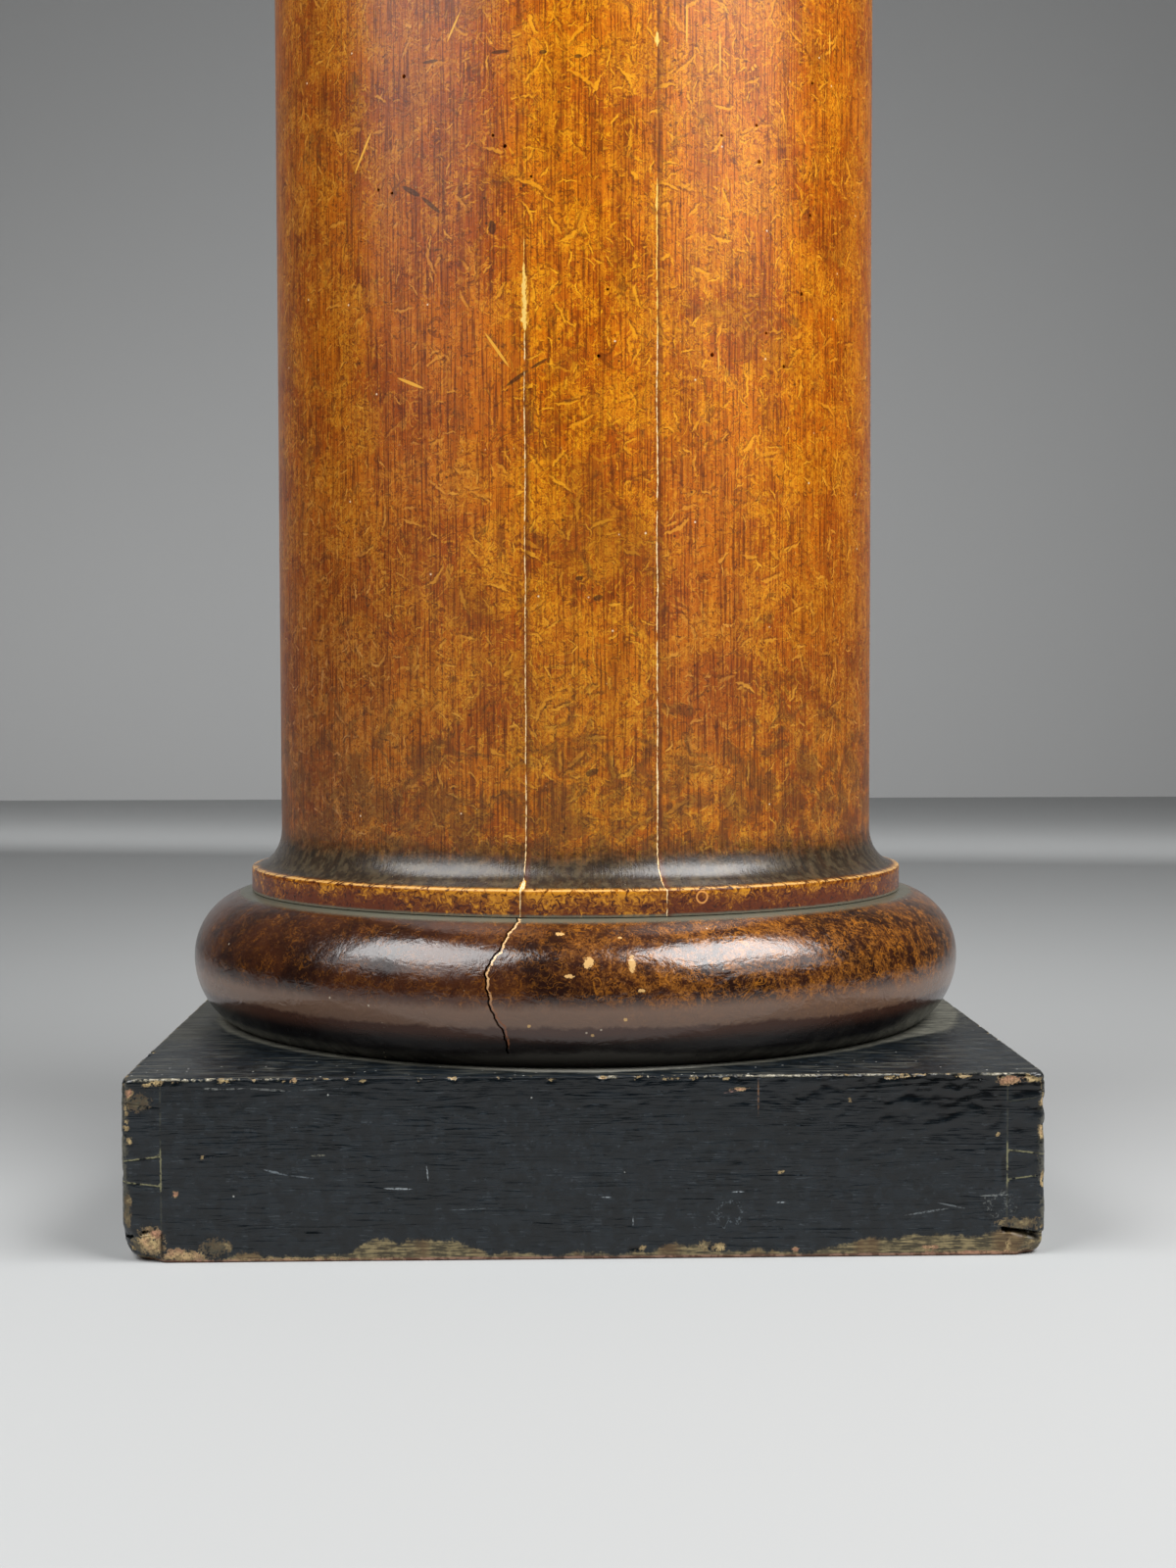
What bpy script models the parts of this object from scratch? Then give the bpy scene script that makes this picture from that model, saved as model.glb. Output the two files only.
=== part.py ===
"""Wooden column pedestal: a coopered round shaft on a turned torus and a dovetailed square plinth.

Metres, +Z up. The origin is the centre of the underside, and the front of the plinth faces -Y.
"""
import math

import bmesh
import bpy
from mathutils import Matrix

# Clearance between pieces that touch, and how far a cutter reaches past what it cuts
FIT_GAP = 0.0003
CUT_MARGIN = 0.004

# Shaft, glued up from staves whose inner and outer faces are round
SHAFT_RADIUS = 0.1531
SHAFT_WALL = 0.022
SHAFT_HEIGHT = 0.890
STAVE_COUNT = 16
FIRST_JOINT_ANGLE = math.radians(-99.65)

# Mouldings cut on both ends of the staves: a flat fillet, and a hollow curve from it into the shaft
FILLET_HEIGHT = 0.012
HOLLOW_REACH = 0.0153
HOLLOW_HEIGHT = 0.019

# Torus, the half-round ring under the shaft
TORUS_PROJECTION = 0.0293
TORUS_BULGE = 0.0317
TORUS_HEIGHT = 0.0645
TORUS_BELLY_HEIGHT = 0.0315
TORUS_FOOT_INSET = 0.0167

# Plinth, a frame of four boards dovetailed at the corners, with a deck board let into its top
PLINTH_MARGIN = 0.0023
PLINTH_HEIGHT = 0.080
BOARD_THICKNESS = 0.017
DECK_THICKNESS = 0.012
REBATE_DEPTH = 0.008

# Dovetails, measured at the root of the tails
TAIL_COUNT = 2
PIN_HEIGHT = 0.013
HALF_PIN_HEIGHT = 0.0125
TAIL_SLOPE = 1 / 8

# Wear on the plinth: its edges are softened and its bottom corners are knocked round
EDGE_WEAR = 0.0015
CORNER_WEAR = 0.007
FRONT_LEFT_CORNER_WEAR = 0.014

# Ring and slab at the top
CAP_RING_PROJECTION = 0.016
CAP_RING_HEIGHT = 0.032
CAP_RING_LIP = 0.005
CAP_RING_NECK_INSET = 0.004
SLAB_MARGIN = 0.006
SLAB_THICKNESS = 0.032
SLAB_EDGE_ROUND = 0.003

# Facets: round pieces have the same number of sides as all the staves together
STAVE_STEPS = 5
HOLLOW_STEPS = 6
TORUS_STEPS = 10
CAP_RING_STEPS = 6
WEAR_STEPS = 3

# Radii, from the shaft outwards
BORE_RADIUS = SHAFT_RADIUS - SHAFT_WALL
FILLET_RADIUS = SHAFT_RADIUS + HOLLOW_REACH
TORUS_RADIUS = FILLET_RADIUS + TORUS_PROJECTION
PLINTH_HALF = TORUS_RADIUS + PLINTH_MARGIN
CAP_RING_RADIUS = FILLET_RADIUS + CAP_RING_PROJECTION
SLAB_HALF = CAP_RING_RADIUS + SLAB_MARGIN
RING_STEPS = STAVE_COUNT * STAVE_STEPS

# Levels, from the floor upwards
TORUS_BASE = PLINTH_HEIGHT + FIT_GAP
SHAFT_BASE = TORUS_BASE + TORUS_HEIGHT + FIT_GAP
CAP_RING_BASE = SHAFT_BASE + SHAFT_HEIGHT + FIT_GAP
SLAB_BASE = CAP_RING_BASE + CAP_RING_HEIGHT + FIT_GAP

# Inner face of the plinth's frame
FRAME_INNER = PLINTH_HALF - BOARD_THICKNESS

# Finishes: base colour, roughness
FINISHES = {
    "grained_varnish": ((0.40, 0.15, 0.045, 1.0), 0.30),
    "dark_varnish": ((0.10, 0.030, 0.014, 1.0), 0.35),
    "cap_varnish": ((0.12, 0.036, 0.016, 1.0), 0.35),
    "frame_paint": ((0.018, 0.019, 0.022, 1.0), 0.45),
    "deck_paint": ((0.030, 0.031, 0.032, 1.0), 0.60),
    "slab_paint": ((0.018, 0.019, 0.022, 1.0), 0.50),
}


def clear_scene():
    for old in list(bpy.data.objects):
        bpy.data.objects.remove(old, do_unlink=True)


def new_collection(name):
    collection = bpy.data.collections.new(name)
    bpy.context.scene.collection.children.link(collection)
    return collection


def make_finish(name):
    colour, roughness = FINISHES[name]
    finish = bpy.data.materials.new(name)
    finish.use_nodes = True
    shader = finish.node_tree.nodes["Principled BSDF"]
    shader.inputs["Base Color"].default_value = colour
    shader.inputs["Roughness"].default_value = roughness
    shader.inputs["Metallic"].default_value = 0.0
    finish.diffuse_color = colour
    return finish


def place(name, mesh, collection, finish=None, turn=0.0, parent=None):
    """Makes an object of a mesh, turned about the vertical axis."""
    piece = bpy.data.objects.new(name, mesh)
    piece.rotation_euler = (0.0, 0.0, turn)
    piece.parent = parent
    collection.objects.link(piece)
    if finish is not None and not mesh.materials:
        mesh.materials.append(finish)
    return piece


def place_cutter(name, mesh, turn=0.0):
    cutter = place(name, mesh, CUTTERS, turn=turn)
    cutter.hide_render = True
    cutter.display_type = "WIRE"
    return cutter


def cut(piece, cutter, operation):
    trim = piece.modifiers.new(cutter.name, "BOOLEAN")
    trim.operation = operation
    trim.solver = "EXACT"
    trim.object = cutter


def mesh_from(shape, name):
    """Turns a bmesh into a mesh whose faces point outwards."""
    bmesh.ops.recalc_face_normals(shape, faces=shape.faces)
    mesh = bpy.data.meshes.new(name)
    shape.to_mesh(mesh)
    shape.free()
    return mesh


def shade_round(mesh):
    mesh.shade_smooth()
    mesh.set_sharp_from_angle(angle=math.radians(30))


def box_shape(low, high):
    """A cube primitive stretched between two corners."""
    shape = bmesh.new()
    bmesh.ops.create_cube(shape, size=1.0)
    size = [upper - lower for lower, upper in zip(low, high)]
    centre = [(upper + lower) / 2 for lower, upper in zip(low, high)]
    bmesh.ops.scale(shape, vec=size, verts=shape.verts)
    bmesh.ops.translate(shape, vec=centre, verts=shape.verts)
    return shape


def cut_to_outline(name, outline, thickness):
    """A flat outline of (x, z) points, given a thickness that is centred on y = 0."""
    curve = bpy.data.curves.new(name, "CURVE")
    curve.dimensions = "2D"
    curve.fill_mode = "BOTH"
    curve.extrude = thickness / 2
    spline = curve.splines.new("POLY")
    spline.points.add(len(outline) - 1)
    for point, (x, z) in zip(spline.points, outline):
        point.co = (x, z, 0.0, 1.0)
    spline.use_cyclic_u = True
    drawing = bpy.data.objects.new(name, curve)
    bpy.context.scene.collection.objects.link(drawing)
    seen = drawing.evaluated_get(bpy.context.evaluated_depsgraph_get())
    flat = bpy.data.meshes.new_from_object(seen)
    bpy.data.objects.remove(drawing, do_unlink=True)
    bpy.data.curves.remove(curve)
    shape = bmesh.new()
    shape.from_mesh(flat)
    bpy.data.meshes.remove(flat)
    bmesh.ops.remove_doubles(shape, verts=shape.verts, dist=FIT_GAP / 10)
    bmesh.ops.rotate(shape, verts=shape.verts, matrix=Matrix.Rotation(math.pi / 2, 3, "X"))
    return shape


def turned(name, profile, finish):
    """A ring turned about the vertical axis from a closed profile that runs down its outer side."""
    shape = bmesh.new()
    points = [shape.verts.new((radius, 0.0, height)) for radius, height in profile]
    for here, there in zip(points, points[1:] + points[:1]):
        shape.edges.new((here, there))
    mesh = bpy.data.meshes.new(name)
    shape.to_mesh(mesh)
    shape.free()
    piece = place(name, mesh, PEDESTAL, finish)
    screw = piece.modifiers.new("turned", "SCREW")
    screw.axis = "Z"
    screw.angle = 2 * math.pi
    screw.steps = RING_STEPS
    screw.render_steps = RING_STEPS
    screw.use_merge_vertices = True
    screw.merge_threshold = 0.0001
    screw.use_smooth_shade = False
    return piece


def arc_angles(start, end, steps):
    return [start + (end - start) * step / steps for step in range(steps + 1)]


def hollow_curve():
    """The hollow at the shaft's foot, as (radius, height above the fillet), from the fillet upwards."""
    points = []
    for angle in arc_angles(0.0, math.pi / 2, HOLLOW_STEPS):
        radius = FILLET_RADIUS - HOLLOW_REACH * math.sin(angle)
        height = HOLLOW_HEIGHT * (1 - math.cos(angle))
        points.append((radius, height))
    return points


def stave_profile():
    """One stave seen along its width: the outer side upwards, then the bore."""
    foot = [(radius, SHAFT_BASE + FILLET_HEIGHT + height) for radius, height in hollow_curve()]
    top = SHAFT_BASE + SHAFT_HEIGHT
    head = [(radius, top - FILLET_HEIGHT - height) for radius, height in reversed(hollow_curve())]
    outer = [(FILLET_RADIUS, SHAFT_BASE)] + foot + head + [(FILLET_RADIUS, top)]
    return outer + [(BORE_RADIUS, top), (BORE_RADIUS, SHAFT_BASE)]


def stave_mesh():
    """One stave, spun from its joint face through its share of the circle."""
    seam_angle = FIT_GAP / SHAFT_RADIUS
    stave_angle = 2 * math.pi / STAVE_COUNT - seam_angle
    shape = bmesh.new()
    joint_face = shape.faces.new([shape.verts.new((radius, 0.0, height)) for radius, height in stave_profile()])
    joint = [joint_face] + list(joint_face.edges) + list(joint_face.verts)
    start = Matrix.Rotation(seam_angle / 2, 3, "Z")
    bmesh.ops.rotate(shape, verts=shape.verts, cent=(0, 0, 0), matrix=start)
    bmesh.ops.spin(shape, geom=joint, cent=(0, 0, 0), axis=(0, 0, 1), angle=stave_angle, steps=STAVE_STEPS)
    mesh = mesh_from(shape, "stave")
    shade_round(mesh)
    return mesh


def build_shaft():
    finish = make_finish("grained_varnish")
    shaft = bpy.data.objects.new("shaft", None)
    PEDESTAL.objects.link(shaft)
    mesh = stave_mesh()
    for number in range(STAVE_COUNT):
        turn = FIRST_JOINT_ANGLE + number * 2 * math.pi / STAVE_COUNT
        place(f"stave_{number + 1:02d}", mesh, PEDESTAL, finish, turn, shaft)


def torus_profile():
    """Top to bottom down the outer side, then back up the bore."""
    belly = TORUS_BASE + TORUS_BELLY_HEIGHT
    centre = TORUS_RADIUS - TORUS_BULGE
    foot_angle = math.acos((TORUS_BULGE - TORUS_FOOT_INSET) / TORUS_BULGE)
    upper_rise = TORUS_HEIGHT - TORUS_BELLY_HEIGHT
    lower_drop = TORUS_BELLY_HEIGHT / math.sin(foot_angle)
    outer = []
    for angle in arc_angles(math.pi / 2, -foot_angle, TORUS_STEPS):
        rise = upper_rise if angle > 0 else lower_drop
        outer.append((centre + TORUS_BULGE * math.cos(angle), belly + rise * math.sin(angle)))
    return outer + [(BORE_RADIUS, TORUS_BASE), (BORE_RADIUS, TORUS_BASE + TORUS_HEIGHT)]


def cap_ring_profile():
    """Top to bottom down the outer side: a short lip over a quarter-round, then back up the bore."""
    neck_radius = FILLET_RADIUS - CAP_RING_NECK_INSET
    top = CAP_RING_BASE + CAP_RING_HEIGHT
    round_top = top - CAP_RING_LIP
    outer = [(CAP_RING_RADIUS, top)]
    for angle in arc_angles(math.pi / 2, 0.0, CAP_RING_STEPS):
        radius = neck_radius + (CAP_RING_RADIUS - neck_radius) * math.sin(angle)
        height = round_top - (CAP_RING_HEIGHT - CAP_RING_LIP) * math.cos(angle)
        outer.append((radius, height))
    return outer + [(BORE_RADIUS, CAP_RING_BASE), (BORE_RADIUS, top)]


def tail_spans():
    """The lowest and highest point of each dovetail at its root."""
    pins = 2 * HALF_PIN_HEIGHT + (TAIL_COUNT - 1) * PIN_HEIGHT
    tail_height = (PLINTH_HEIGHT - pins) / TAIL_COUNT
    lows = [HALF_PIN_HEIGHT + number * (tail_height + PIN_HEIGHT) for number in range(TAIL_COUNT)]
    return [(low, low + tail_height) for low in lows]


def tail_board_mesh():
    """The front board, with dovetails at both ends. It stands on y = 0 and is trimmed to length later."""
    root = FRAME_INNER - FIT_GAP
    end = PLINTH_HALF + CUT_MARGIN
    flare = TAIL_SLOPE * (end - FRAME_INNER)
    slack = FIT_GAP / 2
    right = [(root, 0.0)]
    for low, high in tail_spans():
        right += [(root, low + slack), (end, low - flare + slack), (end, high + flare - slack), (root, high - slack)]
    right.append((root, PLINTH_HEIGHT))
    left = [(-x, z) for x, z in reversed(right)]
    thickness = BOARD_THICKNESS + CUT_MARGIN
    shape = cut_to_outline("tail_board", right + left, thickness)
    middle = -FRAME_INNER - thickness / 2
    bmesh.ops.translate(shape, vec=(0.0, middle, 0.0), verts=shape.verts)
    return mesh_from(shape, "tail_board")


def pin_board_mesh():
    """The right side board, before the sockets for the tails are cut in its ends."""
    reach = PLINTH_HALF + CUT_MARGIN
    shape = box_shape((FRAME_INNER, -reach, 0.0), (reach, reach, PLINTH_HEIGHT))
    return mesh_from(shape, "pin_board")


def socket_mesh():
    """What the tails take out of both ends of the right side board."""
    inside = FRAME_INNER - CUT_MARGIN
    outside = PLINTH_HALF + 2 * CUT_MARGIN
    depth = BOARD_THICKNESS + FIT_GAP + 2 * CUT_MARGIN
    sockets = bmesh.new()
    for low, high in tail_spans():
        for side in (-1, 1):
            corners = []
            for x, edge, way in ((inside, low, -1), (outside, low, -1), (outside, high, 1), (inside, high, 1)):
                corners.append((x, edge + way * (TAIL_SLOPE * (x - FRAME_INNER) + FIT_GAP / 2)))
            socket = cut_to_outline("socket", corners, depth)
            middle = side * (FRAME_INNER - FIT_GAP + depth / 2)
            bmesh.ops.translate(socket, vec=(0.0, middle, 0.0), verts=socket.verts)
            single = mesh_from(socket, "socket")
            sockets.from_mesh(single)
            bpy.data.meshes.remove(single)
    return mesh_from(sockets, "sockets")


def deck_recess_mesh():
    """What the deck board takes out of the top inner edges of the frame."""
    reach = FRAME_INNER + REBATE_DEPTH
    floor = PLINTH_HEIGHT - DECK_THICKNESS - FIT_GAP
    shape = box_shape((-reach, -reach, floor), (reach, reach, PLINTH_HEIGHT + CUT_MARGIN))
    return mesh_from(shape, "deck_recess")


def worn_outside_mesh():
    """The whole plinth as one block, with its bottom corners knocked round and its edges softened."""
    low = (-PLINTH_HALF, -PLINTH_HALF, 0.0)
    shape = box_shape(low, (PLINTH_HALF, PLINTH_HALF, PLINTH_HEIGHT))
    bottom = [corner for corner in shape.verts if corner.co.z < PLINTH_HEIGHT / 2]
    for corner in bottom:
        front_left = corner.co.x < 0 and corner.co.y < 0
        wear = FRONT_LEFT_CORNER_WEAR if front_left else CORNER_WEAR
        bmesh.ops.bevel(shape, geom=[corner], offset=wear, segments=WEAR_STEPS, profile=0.5,
                        affect="VERTICES", material=-1)
    edges = [edge for edge in shape.edges if edge.calc_face_angle() > math.radians(60)]
    bmesh.ops.bevel(shape, geom=edges, offset=EDGE_WEAR, segments=WEAR_STEPS - 1, profile=0.5,
                    affect="EDGES", material=-1)
    return mesh_from(shape, "worn_outside")


def build_plinth():
    frame_finish = make_finish("frame_paint")
    worn_outside = place_cutter("worn_outside", worn_outside_mesh())
    recess = place_cutter("deck_recess", deck_recess_mesh())
    tail_board = tail_board_mesh()
    pin_board = pin_board_mesh()
    sockets = socket_mesh()
    for side, turn in (("front", 0.0), ("back", math.pi)):
        board = place(f"plinth_{side}_board", tail_board, PEDESTAL, frame_finish, turn)
        cut(board, recess, "DIFFERENCE")
        cut(board, worn_outside, "INTERSECT")
    for side, turn in (("right", 0.0), ("left", math.pi)):
        board = place(f"plinth_{side}_board", pin_board, PEDESTAL, frame_finish, turn)
        cut(board, place_cutter(f"{side}_sockets", sockets, turn), "DIFFERENCE")
        cut(board, recess, "DIFFERENCE")
        cut(board, worn_outside, "INTERSECT")
    reach = FRAME_INNER + REBATE_DEPTH - FIT_GAP
    deck = box_shape((-reach, -reach, PLINTH_HEIGHT - DECK_THICKNESS), (reach, reach, PLINTH_HEIGHT))
    place("plinth_deck", mesh_from(deck, "deck"), PEDESTAL, make_finish("deck_paint"))


def build_slab():
    low = (-SLAB_HALF, -SLAB_HALF, SLAB_BASE)
    shape = box_shape(low, (SLAB_HALF, SLAB_HALF, SLAB_BASE + SLAB_THICKNESS))
    slab = place("top_slab", mesh_from(shape, "slab"), PEDESTAL, make_finish("slab_paint"))
    rounding = slab.modifiers.new("eased_edges", "BEVEL")
    rounding.width = SLAB_EDGE_ROUND
    rounding.segments = WEAR_STEPS


clear_scene()
PEDESTAL = new_collection("column_pedestal")
CUTTERS = new_collection("cutters")
build_plinth()
turned("base_torus", torus_profile(), make_finish("dark_varnish"))
build_shaft()
turned("cap_ring", cap_ring_profile(), make_finish("cap_varnish"))
build_slab()
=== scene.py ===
"""Looks of the wooden column pedestal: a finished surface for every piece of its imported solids.

Metres, +Z up. The front of the plinth faces -Y, as in the solids.
"""
import math
import random

import bmesh
import bpy
from mathutils import Matrix, Vector, noise


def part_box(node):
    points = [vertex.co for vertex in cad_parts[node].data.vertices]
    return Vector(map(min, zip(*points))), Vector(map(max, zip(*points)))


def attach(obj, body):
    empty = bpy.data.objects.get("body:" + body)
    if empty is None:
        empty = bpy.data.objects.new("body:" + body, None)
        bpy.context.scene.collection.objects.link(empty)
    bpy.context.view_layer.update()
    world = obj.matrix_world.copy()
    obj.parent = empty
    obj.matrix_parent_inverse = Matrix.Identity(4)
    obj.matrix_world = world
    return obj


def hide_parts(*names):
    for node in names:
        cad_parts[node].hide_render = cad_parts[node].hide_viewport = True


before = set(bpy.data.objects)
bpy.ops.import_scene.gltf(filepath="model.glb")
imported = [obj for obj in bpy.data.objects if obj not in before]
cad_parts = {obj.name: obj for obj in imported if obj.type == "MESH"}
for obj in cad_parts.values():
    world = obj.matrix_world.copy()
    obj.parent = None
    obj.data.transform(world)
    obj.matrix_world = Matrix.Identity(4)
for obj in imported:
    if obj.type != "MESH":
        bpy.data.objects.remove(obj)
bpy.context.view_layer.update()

# Sizes that the solids give
board_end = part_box("plinth_front_board")[1]
PLINTH_HALF = board_end.x
PLINTH_HEIGHT = board_end.z
FRAME_INNER = -board_end.y
BOARD_THICKNESS = PLINTH_HALF - FRAME_INNER
DECK_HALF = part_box("plinth_deck")[1].x
DECK_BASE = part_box("plinth_deck")[0].z
TORUS_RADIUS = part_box("base_torus")[1].x
TORUS_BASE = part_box("base_torus")[0].z
TORUS_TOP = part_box("base_torus")[1].z
SHAFT_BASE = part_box("stave_01")[0].z
SHAFT_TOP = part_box("stave_01")[1].z
CAP_RING_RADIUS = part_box("cap_ring")[1].x
CAP_RING_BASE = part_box("cap_ring")[0].z
CAP_RING_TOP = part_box("cap_ring")[1].z
SLAB_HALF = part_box("top_slab")[1].x
SLAB_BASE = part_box("top_slab")[0].z
SLAB_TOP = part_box("top_slab")[1].z

# Shaft and its mouldings, as the solids have them
SHAFT_RADIUS = 0.1531
BORE_RADIUS = 0.1311
FILLET_HEIGHT = 0.012
HOLLOW_REACH = 0.0153
HOLLOW_HEIGHT = 0.019
FILLET_RADIUS = SHAFT_RADIUS + HOLLOW_REACH
FILLET_WEAR = 0.0009
BORE_REACH = BORE_RADIUS + 0.001
BROAD_WOBBLE = 0.00012
FINE_WOBBLE = 0.00003
STAVE_COUNT = 16
STAVE_ANGLE = 2 * math.pi / STAVE_COUNT
FIRST_JOINT_AZIMUTH = math.radians(-9.65)

# Torus
TORUS_BULGE = 0.0317
TORUS_FOOT_INSET = 0.0167
TORUS_BELLY = TORUS_BASE + 0.0315
TORUS_CENTRE = TORUS_RADIUS - TORUS_BULGE
TORUS_FOOT_ANGLE = math.acos((TORUS_BULGE - TORUS_FOOT_INSET) / TORUS_BULGE)
TORUS_LOWER_DROP = (TORUS_BELLY - TORUS_BASE) / math.sin(TORUS_FOOT_ANGLE)

# Dovetails, measured at the root of the tails
PIN_HEIGHT = 0.013
HALF_PIN_HEIGHT = 0.0125
TAIL_HEIGHT = (PLINTH_HEIGHT - PIN_HEIGHT - 2 * HALF_PIN_HEIGHT) / 2
TAIL_SLOPE = 1 / 8
SEAM_REACH = 0.004
SEAM_WIDTH = 0.0004

# Cap ring
CAP_RING_LIP = 0.005
CAP_RING_NECK = FILLET_RADIUS - 0.004

# Fineness of the meshes
SHAFT_STEP = 0.0042
STAVE_STEPS = 22
FINE_STEP = 0.0014
TORUS_STEPS = 300
BOARD_STEP = 0.00125
DECK_STEP = 0.0028
SLAB_STEP = 0.004
CREASE = 0.0003
SHARP_EDGE = math.radians(38)
SHARP_BOARD_EDGE = math.radians(60)

# Wear on the plinth and the slab
ARRIS_ROUND = 0.0010
POST_ROUND = 0.0032
FOOT_ROUND = 0.0018
CORNER_ROUND = 0.0070
FRONT_LEFT_CORNER_ROUND = 0.0100
SLAB_ROUND = 0.0030


def fade(value, reach):
    """1 at nothing, 0 from the given reach on, with a smooth run between."""
    share = min(max(1 - value / reach, 0.0), 1.0)
    return share * share * (3 - 2 * share)


def bumps(point, *sizes):
    """Smooth noise between -1 and 1, with the size of its bumps given along x, y and z."""
    return noise.noise(Vector([place / size for place, size in zip(point, sizes)]))


def finished(name, mesh, finish, slot, *nodes):
    """Makes a mesh a piece of the pedestal that stands for the named solids."""
    piece = bpy.data.objects.new(name, mesh)
    bpy.context.scene.collection.objects.link(piece)
    mesh.materials.clear()
    mesh.materials.append(finish)
    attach(piece, "root")
    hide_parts(*nodes)
    return piece


def mesh_from(shape, name):
    """Turns a bmesh into a smooth mesh whose faces point outwards."""
    bmesh.ops.recalc_face_normals(shape, faces=shape.faces)
    mesh = bpy.data.meshes.new(name)
    shape.to_mesh(mesh)
    shape.free()
    mesh.shade_smooth()
    return mesh


def carved(mesh, cutter_mesh):
    """The mesh with the cutter's shape taken out of it."""
    piece = bpy.data.objects.new("uncut", mesh)
    cutter = bpy.data.objects.new("cutter", cutter_mesh)
    for thing in (piece, cutter):
        bpy.context.scene.collection.objects.link(thing)
    cut = piece.modifiers.new("cut", "BOOLEAN")
    cut.operation = "DIFFERENCE"
    cut.solver = "EXACT"
    cut.object = cutter
    seen = piece.evaluated_get(bpy.context.evaluated_depsgraph_get())
    result = bpy.data.meshes.new_from_object(seen)
    for thing in (piece, cutter):
        bpy.data.objects.remove(thing, do_unlink=True)
    return result


def run(start, end, step):
    """Points from one (radius, height) to another, the last one left out."""
    count = max(1, round(math.dist(start, end) / step))
    points = []
    for number in range(count):
        share = number / count
        points.append(tuple(a + (b - a) * share for a, b in zip(start, end)))
    return points


def joined(corners, step):
    """Runs of points from corner to corner, the last corner included."""
    points = []
    for start, end in zip(corners, corners[1:]):
        points += run(start, end, step)
    return points + [corners[-1]]


# Shaft: sixteen staves, two of whose joints have opened

def foot_profile():
    """Up the outside of a stave's foot: the fillet, its worn arris and the hollow into the shaft."""
    arris = (FILLET_RADIUS, SHAFT_BASE + FILLET_HEIGHT)
    corners = [(FILLET_RADIUS, SHAFT_BASE), (arris[0], arris[1] - FILLET_WEAR)]
    points = joined(corners, FINE_STEP)
    points.append((arris[0] - FILLET_WEAR * 0.3, arris[1] - FILLET_WEAR * 0.3))
    steps = 18
    for number in range(1, steps + 1):
        angle = math.pi / 2 * number / steps
        radius = FILLET_RADIUS - HOLLOW_REACH * math.sin(angle)
        points.append((radius, arris[1] + HOLLOW_HEIGHT * (1 - math.cos(angle))))
    return points


def stave_section():
    """A stave cut through along its height: up the outside, over the top and down the bore."""
    foot = foot_profile()
    head = [(radius, SHAFT_BASE + SHAFT_TOP - height) for radius, height in reversed(foot)]
    straight = run(foot[-1], head[0], SHAFT_STEP)
    return foot + straight[1:] + head + [(BORE_RADIUS, SHAFT_TOP), (BORE_RADIUS, SHAFT_BASE)]


# Height up to which each open joint runs, the one at the left first, and how far its edges stand back
JOINT_OPEN_TO = {0: 0.452, 1: 0.80}
JOINT_GAP = 0.00011
JOINT_WEAR = 0.00026


def joint_opening(number, height):
    """How far a stave's edge stands back from the middle of a joint."""
    if number not in JOINT_OPEN_TO:
        return 0.0
    shut = fade(JOINT_OPEN_TO[number] - height, 0.03)
    wear = max(0.0, bumps((number, 0.0, height), 1.0, 1.0, 0.009))
    return (JOINT_GAP + JOINT_WEAR * wear) * (1 - shut)


def turning_wobble(point):
    """Slight unevenness of the hand-worked surface, never proud of the true form."""
    broad = bumps(point, 0.055, 0.055, 0.12)
    fine = bumps(point, 0.014, 0.014, 0.035)
    return BROAD_WOBBLE * (broad - 0.6) + FINE_WOBBLE * (fine - 0.6)


def direction(azimuth):
    """The way out from the axis at an azimuth that is 0 at the front and grows to the right."""
    return Vector((math.sin(azimuth), -math.cos(azimuth), 0.0))


def stave_mesh(number):
    """One stave from its joint with the stave before to its joint with the next."""
    start = FIRST_JOINT_AZIMUTH + number * STAVE_ANGLE
    shape = bmesh.new()
    section = stave_section()
    face = shape.faces.new([shape.verts.new(direction(start) * radius + Vector((0, 0, height)))
                            for radius, height in section])
    cap = [face] + list(face.edges) + list(face.verts)
    bmesh.ops.spin(shape, geom=cap, cent=(0, 0, 0), axis=(0, 0, 1), angle=STAVE_ANGLE, steps=STAVE_STEPS)
    sides = {number: (direction(start), 1), (number + 1) % STAVE_COUNT: (direction(start + STAVE_ANGLE), -1)}
    for point in shape.verts:
        out = Vector((point.co.x, point.co.y, 0.0))
        if out.length < BORE_REACH:
            continue
        along = out.normalized()
        point.co += along * turning_wobble(point.co)
        for joint, (edge, way) in sides.items():
            if along.dot(edge) > 1 - 1e-9:
                sideways = Vector((-edge.y, edge.x, 0.0)) * way
                point.co += sideways * joint_opening(joint, point.co.z)
    return mesh_from(shape, "stave")


# Worm holes of the front, as (distance round the shaft from the left open joint, height)
WORM_HOLES = [
    (0.0917, 0.4974), (0.1108, 0.5044), (0.1125, 0.4882), (0.1477, 0.5303), (0.1464, 0.4688),
    (0.0374, 0.4255), (0.0333, 0.3959), (0.0870, 0.3984), (0.1168, 0.4107), (0.1279, 0.3965),
    (0.1752, 0.4320), (0.1799, 0.4111), (0.1400, 0.4314), (-0.0142, 0.4945), (-0.0087, 0.4894),
    (0.0032, 0.4755), (-0.0738, 0.4763), (-0.0586, 0.5254), (-0.0657, 0.4738),
]
WORM_HOLE_RADIUS = 0.00085
WORM_HOLE_DEPTH = 0.005


def all_worm_holes():
    """The holes of the front, and as many scattered over the rest and the part above the photo."""
    scatter = random.Random(16)
    holes = list(WORM_HOLES)
    for _ in WORM_HOLES:
        holes.append((scatter.uniform(0.20, 0.86), scatter.uniform(0.30, 0.98)))
    return holes


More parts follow.
